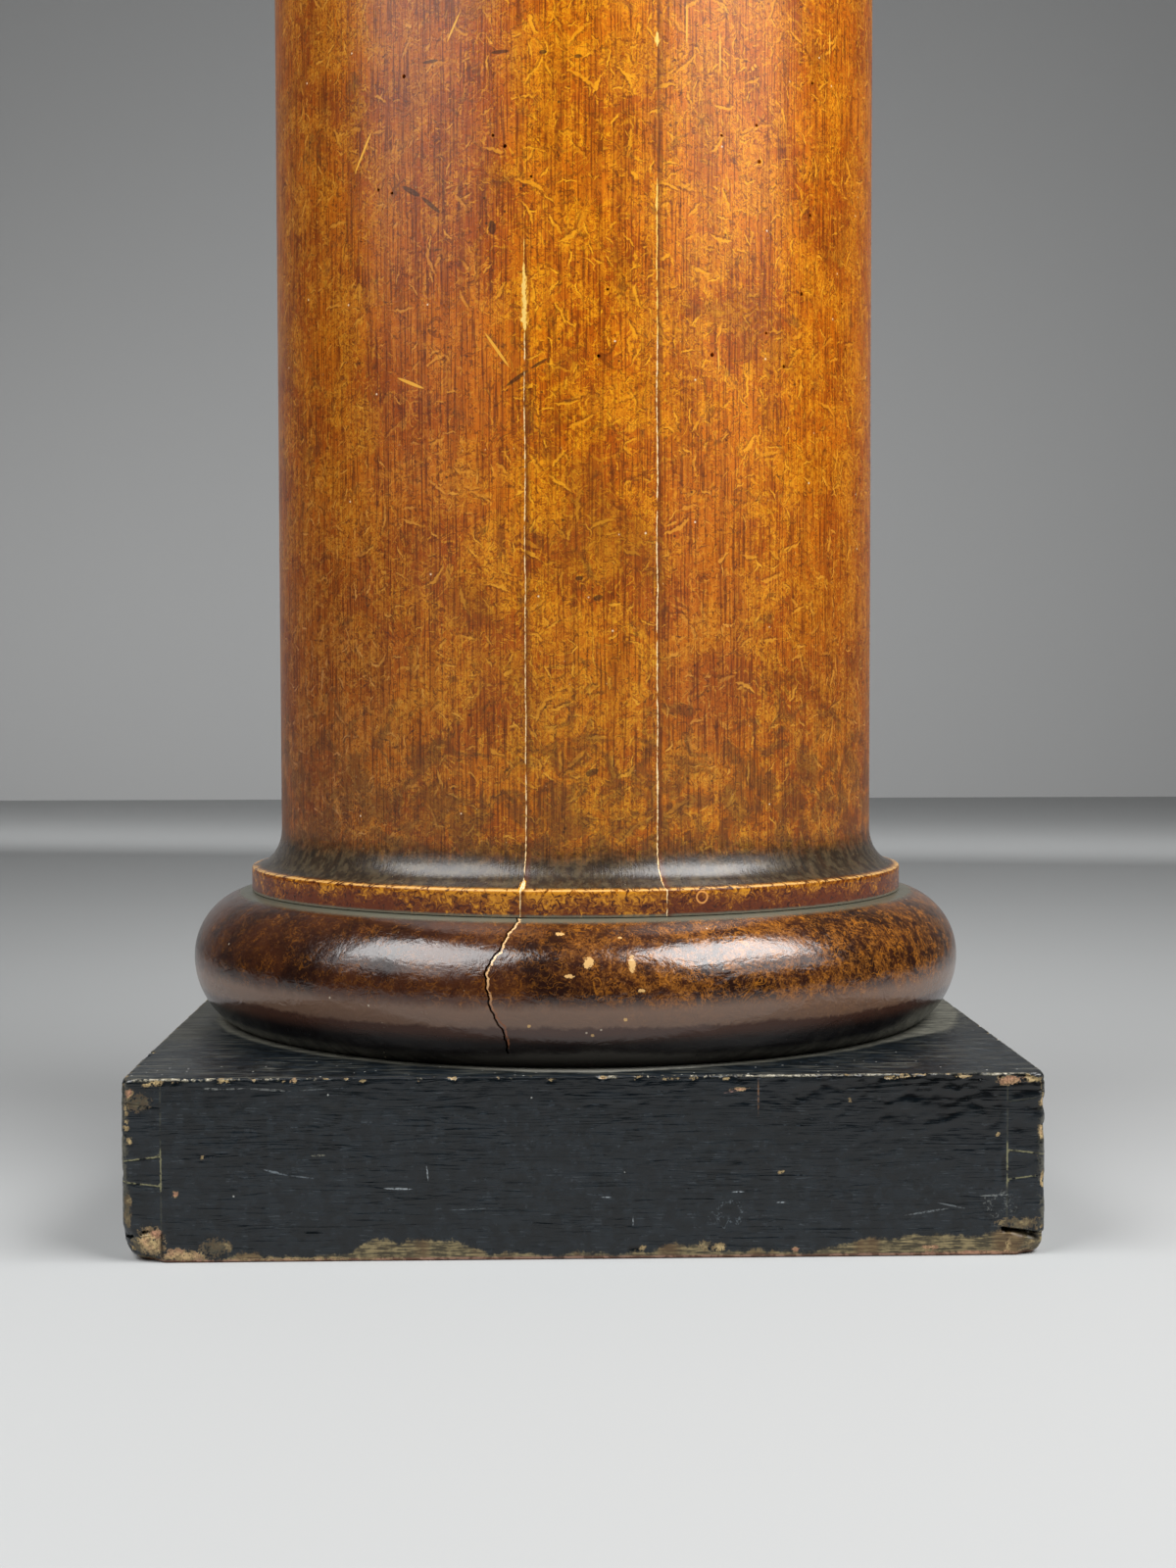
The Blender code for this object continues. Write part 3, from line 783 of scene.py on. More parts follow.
class Finish:
    """One surface finish: a Principled material and the nodes that vary it."""

    def __init__(self, name, **constants):
        self.material = bpy.data.materials.new(name)
        self.material.use_nodes = True
        self.nodes = self.material.node_tree.nodes
        self.links = self.material.node_tree.links
        self.shader = self.nodes["Principled BSDF"]
        for socket, value in constants.items():
            self.shader.inputs[socket.replace("_", " ")].default_value = value

    def node(self, kind, sockets, output=0, **settings):
        """Adds a node: its settings first, then a value or a link for each socket."""
        made = self.nodes.new(kind)
        for setting, value in settings.items():
            setattr(made, setting, value)
        for socket, value in sockets.items():
            self.fill(made.inputs[socket], value)
        return Field(self, made.outputs[output])

    def fill(self, socket, value):
        if isinstance(value, Field):
            self.links.new(value.socket, socket)
        else:
            socket.default_value = value

    def show(self, socket, value):
        """Gives the shader's own socket a value or a link."""
        self.fill(self.shader.inputs[socket], value)

    def maths(self, operation, *values):
        return self.node("ShaderNodeMath", dict(enumerate(values)), operation=operation)

    def least(self, first, second):
        return self.maths("MINIMUM", first, second)

    def most(self, first, second):
        return self.maths("MAXIMUM", first, second)

    def size(self, value):
        return self.maths("ABSOLUTE", value)

    def rise(self, value, start, end):
        """0 up to the start, 1 from the end on, with a smooth run between."""
        sockets = {"Value": value, "From Min": start, "From Max": end}
        return self.node("ShaderNodeMapRange", sockets, interpolation_type="SMOOTHSTEP")

    def fall(self, value, start, end):
        """1 up to the start, 0 from the end on."""
        return self.rise(value, end, start)

    def mix(self, share, first, second, blend="MIX"):
        """Colours mixed by a share: 0 is the first, 1 the second."""
        sockets = {0: share, 6: first, 7: second}
        return self.node("ShaderNodeMix", sockets, output=2, data_type="RGBA", blend_type=blend)

    def between(self, share, first, second):
        """A colour between two screen colours given from 0 to 255."""
        return self.mix(share, seen(*first), seen(*second))

    def vector(self, x, y, z=0.0):
        return self.node("ShaderNodeCombineXYZ", {0: x, 1: y, 2: z})

    def length(self, vector):
        return self.node("ShaderNodeVectorMath", {0: vector}, output="Value", operation="LENGTH")

    def parts(self, vector):
        x = self.node("ShaderNodeSeparateXYZ", {0: vector})
        return x, x.other(1), x.other(2)

    def moved(self, place, *by):
        return self.node("ShaderNodeVectorMath", {0: place, 1: by}, operation="ADD")

    def squeezed(self, place, *by):
        return self.node("ShaderNodeVectorMath", {0: place, 1: by}, operation="MULTIPLY")

    def place(self):
        """Where a point is on the pedestal, in metres."""
        return self.node("ShaderNodeTexCoord", {}, output="Object")

    def stored(self, name):
        """A value that the mesh holds at each of its points."""
        return self.node("ShaderNodeAttribute", {}, output="Fac", attribute_name=name)

    def grain(self, place, size, detail=2.0, roughness=0.5, swirl=0.0, flat=False):
        """Noise from 0 to 1 whose bumps have the given size; flat noise reads only x and y."""
        sockets = {"Vector": place, "Scale": 1 / size, "Detail": detail, "Roughness": roughness,
                   "Distortion": swirl}
        return self.node("ShaderNodeTexNoise", sockets, noise_dimensions="2D" if flat else "3D")

    def streaks(self, around, up, width, length, detail=1.0):
        """Noise from 0 to 1 drawn out along the second coordinate."""
        return self.grain(self.vector(around / width, up / length), 1.0, detail, flat=True)

    def strands(self, place, size, thin, swirl=1.0, flat=False):
        """Curving strands: 1 where a noise is at its middle level, 0 beside."""
        wave = self.grain(place, size, 1.0, 0.5, swirl, flat)
        return self.fall(self.size(wave - 0.5), thin * 0.4, thin)

    def spots(self, place, cell, radius, share):
        """Small round spots in a share of the cells that space is divided into."""
        sockets = {"Vector": place, "Scale": 1 / cell}
        away = self.node("ShaderNodeTexVoronoi", sockets, output="Distance")
        chance, _, _ = self.parts(away.other("Color"))
        return self.fall(away, radius / cell * 0.6, radius / cell) * self.fall(chance, share, share + 0.01)

    def dabs(self, flat, cell, reach, breadth, curl, soft=0.0003):
        """Curved brush dabs with pointed ends, one to a cell of a plane.

        Returns the dabs' strength, a rim along one side, and two random numbers of each dab."""
        sockets = {"Vector": flat, "Scale": 1 / cell}
        centre = self.node("ShaderNodeTexVoronoi", sockets, output="Position", voronoi_dimensions="2D")
        chance, second, third = self.parts(centre.other("Color"))
        away = self.node("ShaderNodeVectorMath", {0: flat, 1: centre}, operation="SUBTRACT")
        turned = self.node("ShaderNodeVectorRotate", {"Vector": away, "Angle": second * 6.283},
                           rotation_type="Z_AXIS")
        along, across, _ = self.parts(turned)
        aside = across - along * along * ((third - 0.5) * curl)
        taper = (1 - (along / (reach * (0.5 + 0.5 * third))) ** 2) * breadth
        dab = self.rise(taper - self.size(aside), 0.0, soft)
        rim = self.rise(taper - self.size(aside - breadth), 0.0, soft) * (1 - dab)
        return dab, rim, chance, third

    def stroke(self, flat, start, end, width):
        """A thin straight mark with narrowing ends between two points of a plane."""
        middle = ((start[0] + end[0]) / 2, (start[1] + end[1]) / 2, 0.0)
        turn = math.atan2(end[1] - start[1], end[0] - start[0])
        half_width = width * 0.6
        sockets = {"Vector": flat, "Location": middle, "Rotation": (0.0, 0.0, turn),
                   "Scale": (math.dist(start, end) / 2, half_width, 1.0)}
        own = self.node("ShaderNodeMapping", sockets, vector_type="TEXTURE")
        return self.fall(self.length(own), 1 - 0.0002 / half_width, 1.0)

    def strokes(self, flat, marks, swell=1.0):
        """Thin marks given as (start, end, width), with their widths swelled."""
        drawn = 0.0
        for start, end, width in marks:
            drawn = self.most(drawn, self.stroke(flat, start, end, width * swell))
        return drawn

    def ridge(self, height, distance, strength=1.0, under=None):
        """A bump that stands for the given distance where the height is 1."""
        sockets = {"Height": height, "Distance": distance, "Strength": strength}
        if under is not None:
            sockets["Normal"] = under
        return self.node("ShaderNodeBump", sockets)


def unrolled(finish, radius):
    """A round surface rolled out flat: distance round from the left open joint, and height."""
    turn = (0.0, 0.0, -FIRST_JOINT_AZIMUTH)
    place = finish.node("ShaderNodeMapping", {"Vector": finish.place(), "Rotation": turn})
    x, y, z = finish.parts(place)
    return finish.maths("ARCTAN2", x, y * -1) * radius, z


# Marks on the front of the shaft, as ((round, height) start, end, width), from the left open joint
DARK_MARKS = [
    ((-0.0092, 0.3825), (0.0020, 0.3900), 0.0010), ((0.0020, 0.3900), (0.0109, 0.3951), 0.0008),
    ((-0.0601, 0.4762), (-0.0500, 0.4705), 0.0014), ((-0.0500, 0.4705), (-0.0394, 0.4617), 0.0011),
    ((-0.0154, 0.5310), (-0.0063, 0.5312), 0.0010), ((-0.0490, 0.5300), (-0.0400, 0.5302), 0.0009),
    ((0.0067, 0.5300), (0.0107, 0.5302), 0.0010), ((0.0225, 0.5280), (0.0263, 0.5282), 0.0010),
    ((0.0225, 0.2965), (0.0262, 0.2968), 0.0012), ((0.0305, 0.2872), (0.0350, 0.2885), 0.0014),
    ((-0.0165, 0.4535), (-0.0130, 0.4540), 0.0034), ((0.0270, 0.2080), (0.0330, 0.2105), 0.0016),
]
PALE_MARKS = [
    ((-0.0772, 0.5044), (-0.0896, 0.4850), 0.0012), ((-0.0292, 0.5512), (-0.0365, 0.5368), 0.0010),
    ((0.0742, 0.5340), (0.0742, 0.5560), 0.0010), ((0.0909, 0.5230), (0.0909, 0.5450), 0.0009),
    ((0.1625, 0.5450), (0.1625, 0.5590), 0.0010), ((-0.0190, 0.4080), (-0.0065, 0.3905), 0.0013),
    ((-0.0640, 0.3900), (-0.0480, 0.3835), 0.0014), ((0.0900, 0.4030), (0.0905, 0.3900), 0.0008),
]

# Open joints: number, top of the pale line, then chips as (low end, high end, half width)
PALE_JOINTS = [
    (0, 0.450, ((0.4090, 0.4385, 0.0015), (0.4070, 0.4180, 0.0018), (0.1555, 0.1620, 0.0011))),
    (1, 0.478, ((0.5335, 0.5405, 0.0012), (0.4600, 0.4690, 0.0007), (0.1950, 0.2150, 0.0006))),
]

RING_MARK_AZIMUTH = math.radians(18.5)
RING_MARK_HEIGHT = 0.1532
RING_MARK_RADIUS = 0.0029


def with_open_joints(f, colour, around, up):
    """A dark shade on the right of each open joint, and a pale line where its edges have chipped."""
    wander = 0.0012 * (f.grain(f.vector(up / 0.030, 3.0), 1.0, 1.0, flat=True) - 0.5)
    broken = f.grain(f.vector(around / 0.0012, up / 0.0034), 1.0, 3.0, 0.75, flat=True)
    beads = f.grain(f.vector(around / 0.0040, up / 0.0120), 1.0, 1.0, 0.5, flat=True)
    for joint, pale_top, chips in PALE_JOINTS:
        aside = around - joint * STAVE_ANGLE * SHAFT_RADIUS - wander
        opened = f.fall(up, JOINT_OPEN_TO[joint] - 0.02, JOINT_OPEN_TO[joint])
        shade = f.fall(aside, 0.0006, 0.0034) * f.rise(aside, -0.0003, 0.0002) * opened
        colour = colour.coat(shade * (0.40 + 0.5 * beads), 88, 38, 10)
        line = 0.00036 + 0.00008 * joint
        width = (0.00010 + (line - 0.00006) * f.rise(broken, 0.38, 0.60)) * f.rise(beads, 0.32, 0.46)
        width = width * f.fall(up, pale_top - 0.006, pale_top)
        for low_end, high_end, half_width in chips:
            middle, half = (low_end + high_end) / 2, (high_end - low_end) / 2
            swell = 1 - ((up - middle) / half) ** 2
            width = f.most(width, swell * half_width * (3.6 * broken - 0.80))
        pale = f.rise(width - f.size(aside + 0.0001), -0.00008, 0.00012)
        core = f.rise(width * 0.62 - f.size(aside + 0.0001), -0.00012, 0.00012)
        cream = f.between(f.rise(up, 0.402, 0.408), (246, 222, 176), (246, 206, 112))
        colour = f.mix(pale, colour, f.mix(core, seen(226, 156, 40), cream))
    return colour


def with_foot(f, colour, place, flat, around, up, foot):
    """Grime in the hollow, and the fillet with its worn arris and its ring mark."""
    worn = f.grain(place, 0.0045, 3.0, 0.65)
    hollow_top = FILLET_HEIGHT + HOLLOW_HEIGHT
    grime = f.fall(foot + 0.010 * (worn - 0.5), hollow_top - 0.010, hollow_top + 0.006)
    colour = f.mix(grime * 0.94, colour, f.between(f.rise(worn, 0.40, 0.65), (36, 33, 27), (72, 64, 48)))
    on_fillet = f.fall(foot, FILLET_HEIGHT - 0.0002, FILLET_HEIGHT + 0.0010)
    drawn = f.grain(flat, 0.0026, 4.0, 0.72, 0.9, flat=True)
    upper = f.rise(foot, 0.002, FILLET_HEIGHT)
    patches = f.grain(flat, 0.017, 2.0, 0.6, flat=True)
    middle_part = f.fall(f.size(around - 0.005), 0.025, 0.080)
    golden = f.rise(drawn + 0.16 * (upper - 0.5) + 0.6 * (patches - 0.5) + 0.14 * middle_part, 0.44, 0.76)
    fillet = f.between(golden, (100, 44, 16), (172, 106, 22))
    fillet = fillet.coat(f.rise(golden * drawn, 0.42, 0.62) * 0.7, 218, 150, 40)
    fillet = fillet.coat(f.fall(drawn, 0.34, 0.46) * 0.8, 46, 20, 10)
    colour = f.mix(on_fillet, colour, fillet)
    colour = colour.coat(f.fall(foot + 0.0008 * (worn - 0.5), 0.0006, 0.0015) * 0.8, 104, 106, 90)
    arris = f.fall(f.size(foot - FILLET_HEIGHT + 0.0001), 0.0001, 0.0003 + 0.0005 * worn)
    colour = colour.coat(arris * f.rise(drawn + 0.5 * (worn - 0.5), 0.38, 0.50), 228, 176, 100)
    ring_around = (RING_MARK_AZIMUTH - FIRST_JOINT_AZIMUTH) * SHAFT_RADIUS
    off = f.vector((around - ring_around) * (FILLET_RADIUS / SHAFT_RADIUS), up - RING_MARK_HEIGHT)
    ring = f.fall(f.size(f.length(off) - RING_MARK_RADIUS + 0.0007 * worn), 0.0002, 0.0006)
    colour = colour.coat(ring * 0.85, 236, 162, 82)
    return colour, grime


def with_dabs(f, colour, flat, around, up, wished):
    """Single dabs of the brush, thickest where they are wished."""
    wishes = f.rise(wished, 0.34, 0.60)
    bend = f.grain(f.moved(flat, 0.7, 0.2, 0.0), 0.0050, 3.0, 0.65, flat=True) - 0.5
    sway = f.grain(f.moved(flat, 0.1, 0.6, 0.0), 0.0042, 3.0, 0.65, flat=True) - 0.5
    bent = f.vector(around + 0.0036 * bend, up + 0.0036 * sway)
    for cell, reach, breadth, curl, few, many, share, hue in (
            (0.0052, 0.0026, 0.00042, 260.0, 0.30, 0.80, 0.90, (244, 162, 20)),
            (0.0092, 0.0048, 0.00062, 150.0, 0.24, 0.70, 0.90, (248, 170, 28)),
            (0.0150, 0.0078, 0.00090, 80.0, 0.20, 0.50, 0.90, (244, 164, 24)),
            (0.0230, 0.0100, 0.00100, 60.0, 0.14, 0.34, 0.80, (240, 158, 22))):
        over = f.moved(bent, cell * 37, cell * 91, 0.0)
        dab, rim, chance, tone = f.dabs(over, cell, reach, breadth, curl, soft=0.0004)
        present = f.rise(wishes * (many - few) + few - chance, 0.0, 0.03)
        colour = colour.coat(rim * present * 0.45, 98, 42, 3)
        colour = colour.coat(dab * present * share * (0.45 + 0.55 * tone), *hue)
    dab, _, chance, _ = f.dabs(f.moved(bent, 0.31, 0.17, 0.0), 0.0140, 0.0034, 0.00040, 140.0)
    colour = colour.coat(dab * f.fall(chance, 0.30, 0.34) * 0.75, 70, 32, 8)
    return colour


def grained_varnish():
    """Wood painted in imitation of burl, under a glossy worn varnish."""
    f = Finish("grained_varnish", Specular_IOR_Level=0.42)
    place = f.place()
    x, _, _ = f.parts(place)
    around, up = unrolled(f, SHAFT_RADIUS)
    flat = f.vector(around, up)
    foot = f.least(up - SHAFT_BASE, SHAFT_TOP - up)
    left = f.fall(x, -0.150, -0.010)

    # Ground colour
    tones = f.grain(flat, 0.055, 2.0, 0.5, 0.5, flat=True)
    clouds = f.grain(f.moved(flat, 0.37, 0.11, 0.0), 0.026, 3.0, 0.6, 0.8, flat=True)
    colour = f.between(f.rise(tones, 0.36, 0.64), (212, 112, 2), (182, 86, 2))

    # Ochre sponged over it in clouds, with curling strands
    sponge = f.grain(flat, 0.0048, 3.0, 0.68, 1.6, flat=True)
    fine_sponge = f.grain(f.moved(flat, 0.9, 0.4, 0.0), 0.0019, 2.0, 0.65, 1.2, flat=True)
    calm_left = f.fall(f.size(around + 0.042), 0.016, 0.046) * f.rise(up, 0.29, 0.37)
    calm_right = f.fall(f.size(around - 0.083), 0.010, 0.030) * f.fall(f.size(up - 0.285), 0.050, 0.110)
    calm_parts = f.most(calm_left, calm_right * 0.8)
    cover = f.rise(clouds + 0.45 * (sponge - 0.5) - 0.10 * calm_parts, 0.42, 0.62)
    ochre = f.between(f.rise(sponge, 0.38, 0.62), (186, 98, 2), (232, 142, 8))
    colour = f.mix(cover * 0.65, colour, ochre)
    colour = colour.coat(f.rise(fine_sponge, 0.52, 0.66) * cover * 0.7, 242, 172, 22)
    for size, thin, share, hue in ((0.0150, 0.020, 0.75, (244, 162, 20)),
                                   (0.0085, 0.030, 0.80, (242, 156, 16)),
                                   (0.0048, 0.050, 0.65, (236, 148, 16))):
        over = f.moved(flat, size * 41, size * 67, 0.0)
        gaps = f.rise(f.grain(over, size * 0.9, 1.0, flat=True), 0.46, 0.56)
        colour = colour.coat(f.strands(over, size, thin, 1.4, flat=True) * gaps * share, *hue)

    # Upright brush lines through both, and darker flecks
    hairs = f.streaks(around, up, 0.0009, 0.030, 2.0)
    bands = f.streaks(around, up, 0.0045, 0.110, 2.0)
    calm = 1 - 0.45 * cover
    colour = colour.coat(f.rise(bands, 0.46, 0.66) * calm * 0.50, 146, 68, 2)
    colour = colour.coat(f.rise(hairs, 0.50, 0.66) * calm * 0.72, 100, 40, 2)
    colour = colour.coat(f.fall(hairs, 0.32, 0.44) * calm * 0.40, 226, 140, 12)
    colour = colour.coat(f.fall(fine_sponge, 0.35, 0.44) * 0.65, 100, 46, 3)
    over = f.moved(flat, 0.21, 0.83, 0.0)
    gaps = f.rise(f.grain(over, 0.009, 1.0, flat=True), 0.50, 0.58)
    colour = colour.coat(f.strands(over, 0.0100, 0.024, 1.2, flat=True) * gaps * 0.55, 96, 42, 3)

    colour = with_dabs(f, colour, flat, around, up, clouds - 0.14 * calm_parts)

    # Painted shade: darker at the left and the far right, the left also of a pinker tone, and darker towards
    # the foot
    right = f.rise(x, 0.060, 0.150)
    colour = colour.tint(right * 0.80, 0.76, 0.68, 1.5)
    colour = colour.tint(left * 0.95, 0.53, 0.51, 2.4)
    # Calm parts tinted pinker: at the left a painted milky reflection of the left box, at the right the
    # paint's own pinker tone
    colour = colour.tint(calm_parts * 0.80, 0.86, 0.80, 2.2)
    low = f.fall(foot + 0.07 * (clouds - 0.5), 0.050, 0.260)
    colour = colour.tint(low * 0.80, 0.72, 0.80, 3.0)

    # Smudges, scratches, pale strokes and specks
    smudges = f.grain(f.moved(flat, 0.55, 0.71, 0.0), 0.014, 4.0, 0.65, 0.6, flat=True)
    smudged = f.rise(smudges + 0.20 * f.fall(foot, 0.045, 0.130), 0.60, 0.76)
    colour = colour.coat(smudged * 0.50, 74, 46, 22)
    colour = colour.coat(f.rise(tones + 0.2 * (sponge - 0.5), 0.60, 0.74) * 0.35, 118, 62, 12)
    colour = colour.coat(f.strokes(flat, DARK_MARKS, 1.6) * 0.75, 52, 30, 16)
    colour = colour.coat(f.strokes(flat, PALE_MARKS) * 0.80, 244, 178, 60)
    colour = colour.coat(f.spots(place, 0.0120, 0.0006, 0.45), 232, 206, 176)
    colour = colour.coat(f.spots(f.moved(place, 0.3, 0.1, 0.2), 0.0085, 0.0008, 0.35) * 0.8, 60, 32, 14)

    colour, grime = with_foot(f, colour, place, flat, around, up, foot)
    colour = with_open_joints(f, colour, around, up)
    f.show("Base Color", colour)

    f.show("Roughness", 0.23 + 0.14 * f.grain(place, 0.025, 3.0, 0.6) + 0.06 * low - 0.10 * grime)
    ribs = f.streaks(around, up, 0.0007, 0.050, 2.0)
    normal = f.ridge(ribs, 0.00006, 0.6)
    normal = f.ridge(f.grain(place, 0.0015, 2.0, 0.6), 0.00012, 0.5, normal)
    f.show("Normal", f.ridge(sponge, 0.00016, 0.4, normal))
    return f.material


# Pale chips on the front of the torus: azimuth, degrees above the belly, half sizes round and up
TORUS_CHIPS = [
    (0.4, 31.0, 0.0022, 0.0030), (6.0, 29.0, 0.0016, 0.0044), (-3.5, 58.6, 0.0020, 0.0012),
    (4.7, 53.7, 0.0010, 0.0007), (5.0, -15.0, 0.0009, 0.0008), (-7.2, -20.0, 0.0008, 0.0007),
    (0.9, -27.9, 0.0009, 0.0007), (-2.0, 20.0, 0.0022, 0.0009), (7.0, 8.0, 0.0016, 0.0009),
]


def with_damage(f, colour, place, around, up, radius, angle):
    """The crack, with pale fresh wood along its edges and browner wood lower down, and the chips."""
    on_torus = f.fall(up, TORUS_TOP, TORUS_TOP + 0.001)
    path = f.maths("EXPONENT", ((angle - CRACK_PEAK) / CRACK_SPREAD) ** 2 * -1) * CRACK_BOW
    for size, rate in CRACK_WAVES:
        path = path + size * f.maths("SINE", angle * rate)
    broken = f.grain(place, 0.0016, 4.0, 0.74)
    shift = 0.0016 * (f.grain(place, 0.0045, 3.0, 0.7) - 0.5)
    aside = f.size((around - path) * radius + shift)
    middle, half = (CRACK_TOP + CRACK_END) / 2, (CRACK_TOP - CRACK_END) / 2
    reach = f.fall(f.size(angle - middle), half - 0.10, half)
    pale = f.rise((0.0004 + 0.0030 * (broken - 0.45)) * reach - aside, -0.0001, 0.0003) * on_torus
    fresh = f.between(f.rise(up, TORUS_BELLY - 0.010, TORUS_BELLY + 0.020), (134, 80, 46), (226, 184, 130))
    colour = f.mix(pale, colour, fresh)

    for azimuth, above, half_around, half_up in TORUS_CHIPS:
        off_around = (around - (math.radians(azimuth) - FIRST_JOINT_AZIMUTH)) * TORUS_RADIUS / half_around
        off_up = (angle - math.radians(above)) * TORUS_BULGE / half_up
        ragged = off_around * off_around + off_up * off_up + 4.6 * (broken - 0.5)
        colour = colour.coat(f.fall(ragged, 0.7, 1.0) * on_torus, 206, 164, 104)
    return colour


def dark_varnish():
    """The same graining under a nearly black mahogany varnish, for the turned rings."""
    f = Finish("dark_varnish", Specular_IOR_Level=0.6)
    place = f.place()
    x, y, up = f.parts(place)
    around, _ = unrolled(f, 1.0)
    radius = f.maths("SQRT", x * x + y * y)
    angle = f.maths("ARCTAN2", up - TORUS_BELLY, radius - TORUS_CENTRE)
    clouds = f.grain(place, 0.040, 2.0, 0.55, 0.5)
    mottle = f.grain(place, 0.0080, 4.0, 0.68, 1.0)
    fine = f.grain(place, 0.0016, 3.0, 0.70, 0.8)
    right = f.rise(x + 0.10 * (clouds - 0.5), -0.050, 0.045)
    # The orange mottle and strands fade out below the belly, into the painted shade of the underside
    high = f.rise(angle + 0.9 * (clouds - 0.5), -0.55, 0.10)

    colour = f.between(f.rise(clouds, 0.36, 0.64), (34, 16, 11), (62, 31, 16))
    orange = f.rise(mottle + 0.40 * (clouds - 0.5) + 0.45 * (fine - 0.5), 0.40, 0.70)
    orange = orange * (0.08 + 0.92 * right) * (0.25 + 0.75 * high)
    colour = f.mix(orange * 0.74, colour, f.between(f.rise(fine, 0.36, 0.60), (88, 46, 14), (152, 94, 32)))
    for size, thin, share, hue in ((0.0070, 0.030, 0.45, (196, 124, 36)),
                                   (0.0042, 0.045, 0.50, (180, 110, 30)),
                                   (0.0024, 0.060, 0.45, (170, 108, 40))):
        over = f.moved(place, size * 41, size * 67, size * 13)
        gaps = f.rise(f.grain(over, size * 1.6, 1.0), 0.50, 0.62)
        strands = f.strands(over, size, thin, 1.3) * gaps * (0.30 + 0.70 * right) * (0.2 + 0.8 * high)
        colour = colour.coat(strands * share, *hue)
    colour = colour.coat(f.fall(mottle, 0.34, 0.46) * 0.35, 24, 10, 7)
    colour = colour.coat(f.rise(fine, 0.58, 0.70) * 0.35 * high * right, 140, 92, 46)
    # Painted light below the belly: a painted purple-grey reflection of the floor, then painted shade going
    # dark red-brown and black on the underside
    ragged_angle = angle + 0.16 * (mottle - 0.5) + 0.12 * (clouds - 0.5)
    colour = colour.coat(f.fall(ragged_angle, -0.18, 0.02) * 0.75, 126, 98, 80)
    colour = colour.coat(f.fall(ragged_angle, -0.42, -0.35) * 0.85, 64, 33, 22)
    colour = colour.coat(f.fall(angle, -0.68, -0.45) * 0.94, 10, 6, 5)
    colour = colour.coat(f.spots(place, 0.0060, 0.0006, 0.26 - 0.16 * right), 186, 170, 148)

    # Dusty ring beside the fillet
    on_torus = f.fall(up, TORUS_TOP, TORUS_TOP + 0.001)
    dusty = f.fall(radius + 0.004 * (fine - 0.5), FILLET_RADIUS + 0.0045, FILLET_RADIUS + 0.0085)
    dusty = dusty * f.rise(angle, 0.2, 0.6) * on_torus
    colour = colour.coat(dusty * 0.85, 98, 100, 86)

    colour = with_damage(f, colour, place, around, up, radius, angle)
    f.show("Base Color", colour)
    f.show("Roughness", 0.12 + 0.10 * clouds + 0.10 * f.rise(fine, 0.5, 0.7) + 0.12 * dusty)
    normal = f.ridge(mottle, 0.00026, 0.4)
    wrinkles = f.grain(f.squeezed(place, 0.55, 0.55, 1.0), 0.0060, 3.0, 0.6, 0.6)
    normal = f.ridge(wrinkles, 0.00070, 0.45, normal)
    f.show("Normal", f.ridge(fine, 0.00008, 0.4, normal))
    return f.material


# Marks of the plinth's front, as ((x, height) start, end, width, colour)
PALE_SCRATCH = (170, 178, 182)
FRONT_MARKS = [
    ((-0.1397, 0.0406), (-0.1280, 0.0376), 0.0013, (120, 130, 136)),
    ((-0.1285, 0.0378), (-0.1160, 0.0362), 0.0009, (104, 112, 118)),
    ((-0.0880, 0.0318), (-0.0745, 0.0313), 0.0012, PALE_SCRATCH),
    ((-0.0690, 0.0420), (-0.0682, 0.0345), 0.0009, PALE_SCRATCH),
    ((-0.1190, 0.0462), (-0.1120, 0.0464), 0.0012, (136, 134, 116)),
    ((-0.1654, 0.0757), (-0.1560, 0.0752), 0.0012, (120, 122, 118)),
    ((-0.1570, 0.0752), (-0.1457, 0.0757), 0.0010, (110, 112, 108)),
    ((-0.1465, 0.0756), (-0.1256, 0.0742), 0.0013, (104, 106, 104)),
    ((-0.1260, 0.0744), (-0.1100, 0.0752), 0.0010, (84, 88, 88)),
    ((0.0745, 0.0800), (0.0745, 0.0610), 0.0010, (120, 88, 62)),
    ((0.0590, 0.0720), (0.0670, 0.0735), 0.0012, (128, 100, 92)),
    ((0.1370, 0.0178), (0.1590, 0.0212), 0.0012, (112, 118, 120)),
    ((0.1520, 0.0236), (0.1660, 0.0206), 0.0011, (104, 110, 112)),
    ((0.1700, 0.0262), (0.1860, 0.0268), 0.0012, (120, 124, 122)),
    ((0.0625, 0.0290), (0.0690, 0.0290), 0.0008, PALE_SCRATCH),
    ((0.0820, 0.0242), (0.0870, 0.0242), 0.0008, PALE_SCRATCH),
    ((0.0060, 0.0271), (0.0115, 0.0271), 0.0008, PALE_SCRATCH),
    ((0.0202, 0.0190), (0.0202, 0.0140), 0.0008, PALE_SCRATCH),
    ((-0.0620, 0.0220), (-0.0380, 0.0228), 0.0008, (96, 104, 108)),
]

# Rings left on the plinth's front, as (x, height, radius, colour)
FRONT_RINGS = [
    (0.0618, 0.0198, 0.0048, (104, 114, 120)), (0.1805, 0.0230, 0.0046, (118, 122, 118)),
]


def with_rubbed_edges(f, colour, x, y, half, below_top, rough, ragged):
    """Paint rubbed through in flecks along the top arris and at the upright corners."""
    outward = f.most(f.size(x), f.size(y))
    arris = half - outward + below_top
    share = 0.24 * f.rise(x, -0.02, 0.12) + 0.14 * f.fall(x, -0.170, -0.120)
    rubbed = f.fall(rough, 0.36 + share, 0.43 + share) * f.rise(ragged, 0.42, 0.50)
    worn_arris = f.fall(arris + 0.0060 * (ragged - 0.5), 0.0010, 0.0018) * rubbed
    arris_colour = f.between(f.rise(ragged, 0.46, 0.58), (112, 108, 90), (240, 230, 206))
    colour = f.mix(worn_arris, colour, arris_colour)
    post = 2 * half - f.size(x) - f.size(y)
    worn_post = f.fall(post + 0.0140 * (ragged - 0.5), 0.0016, 0.0040) * f.fall(rough, 0.49, 0.57)
    post_colour = f.between(f.rise(ragged, 0.4, 0.6), (60, 60, 52), (126, 122, 104))
    colour = f.mix(worn_post * 0.75, colour, post_colour)
    return colour


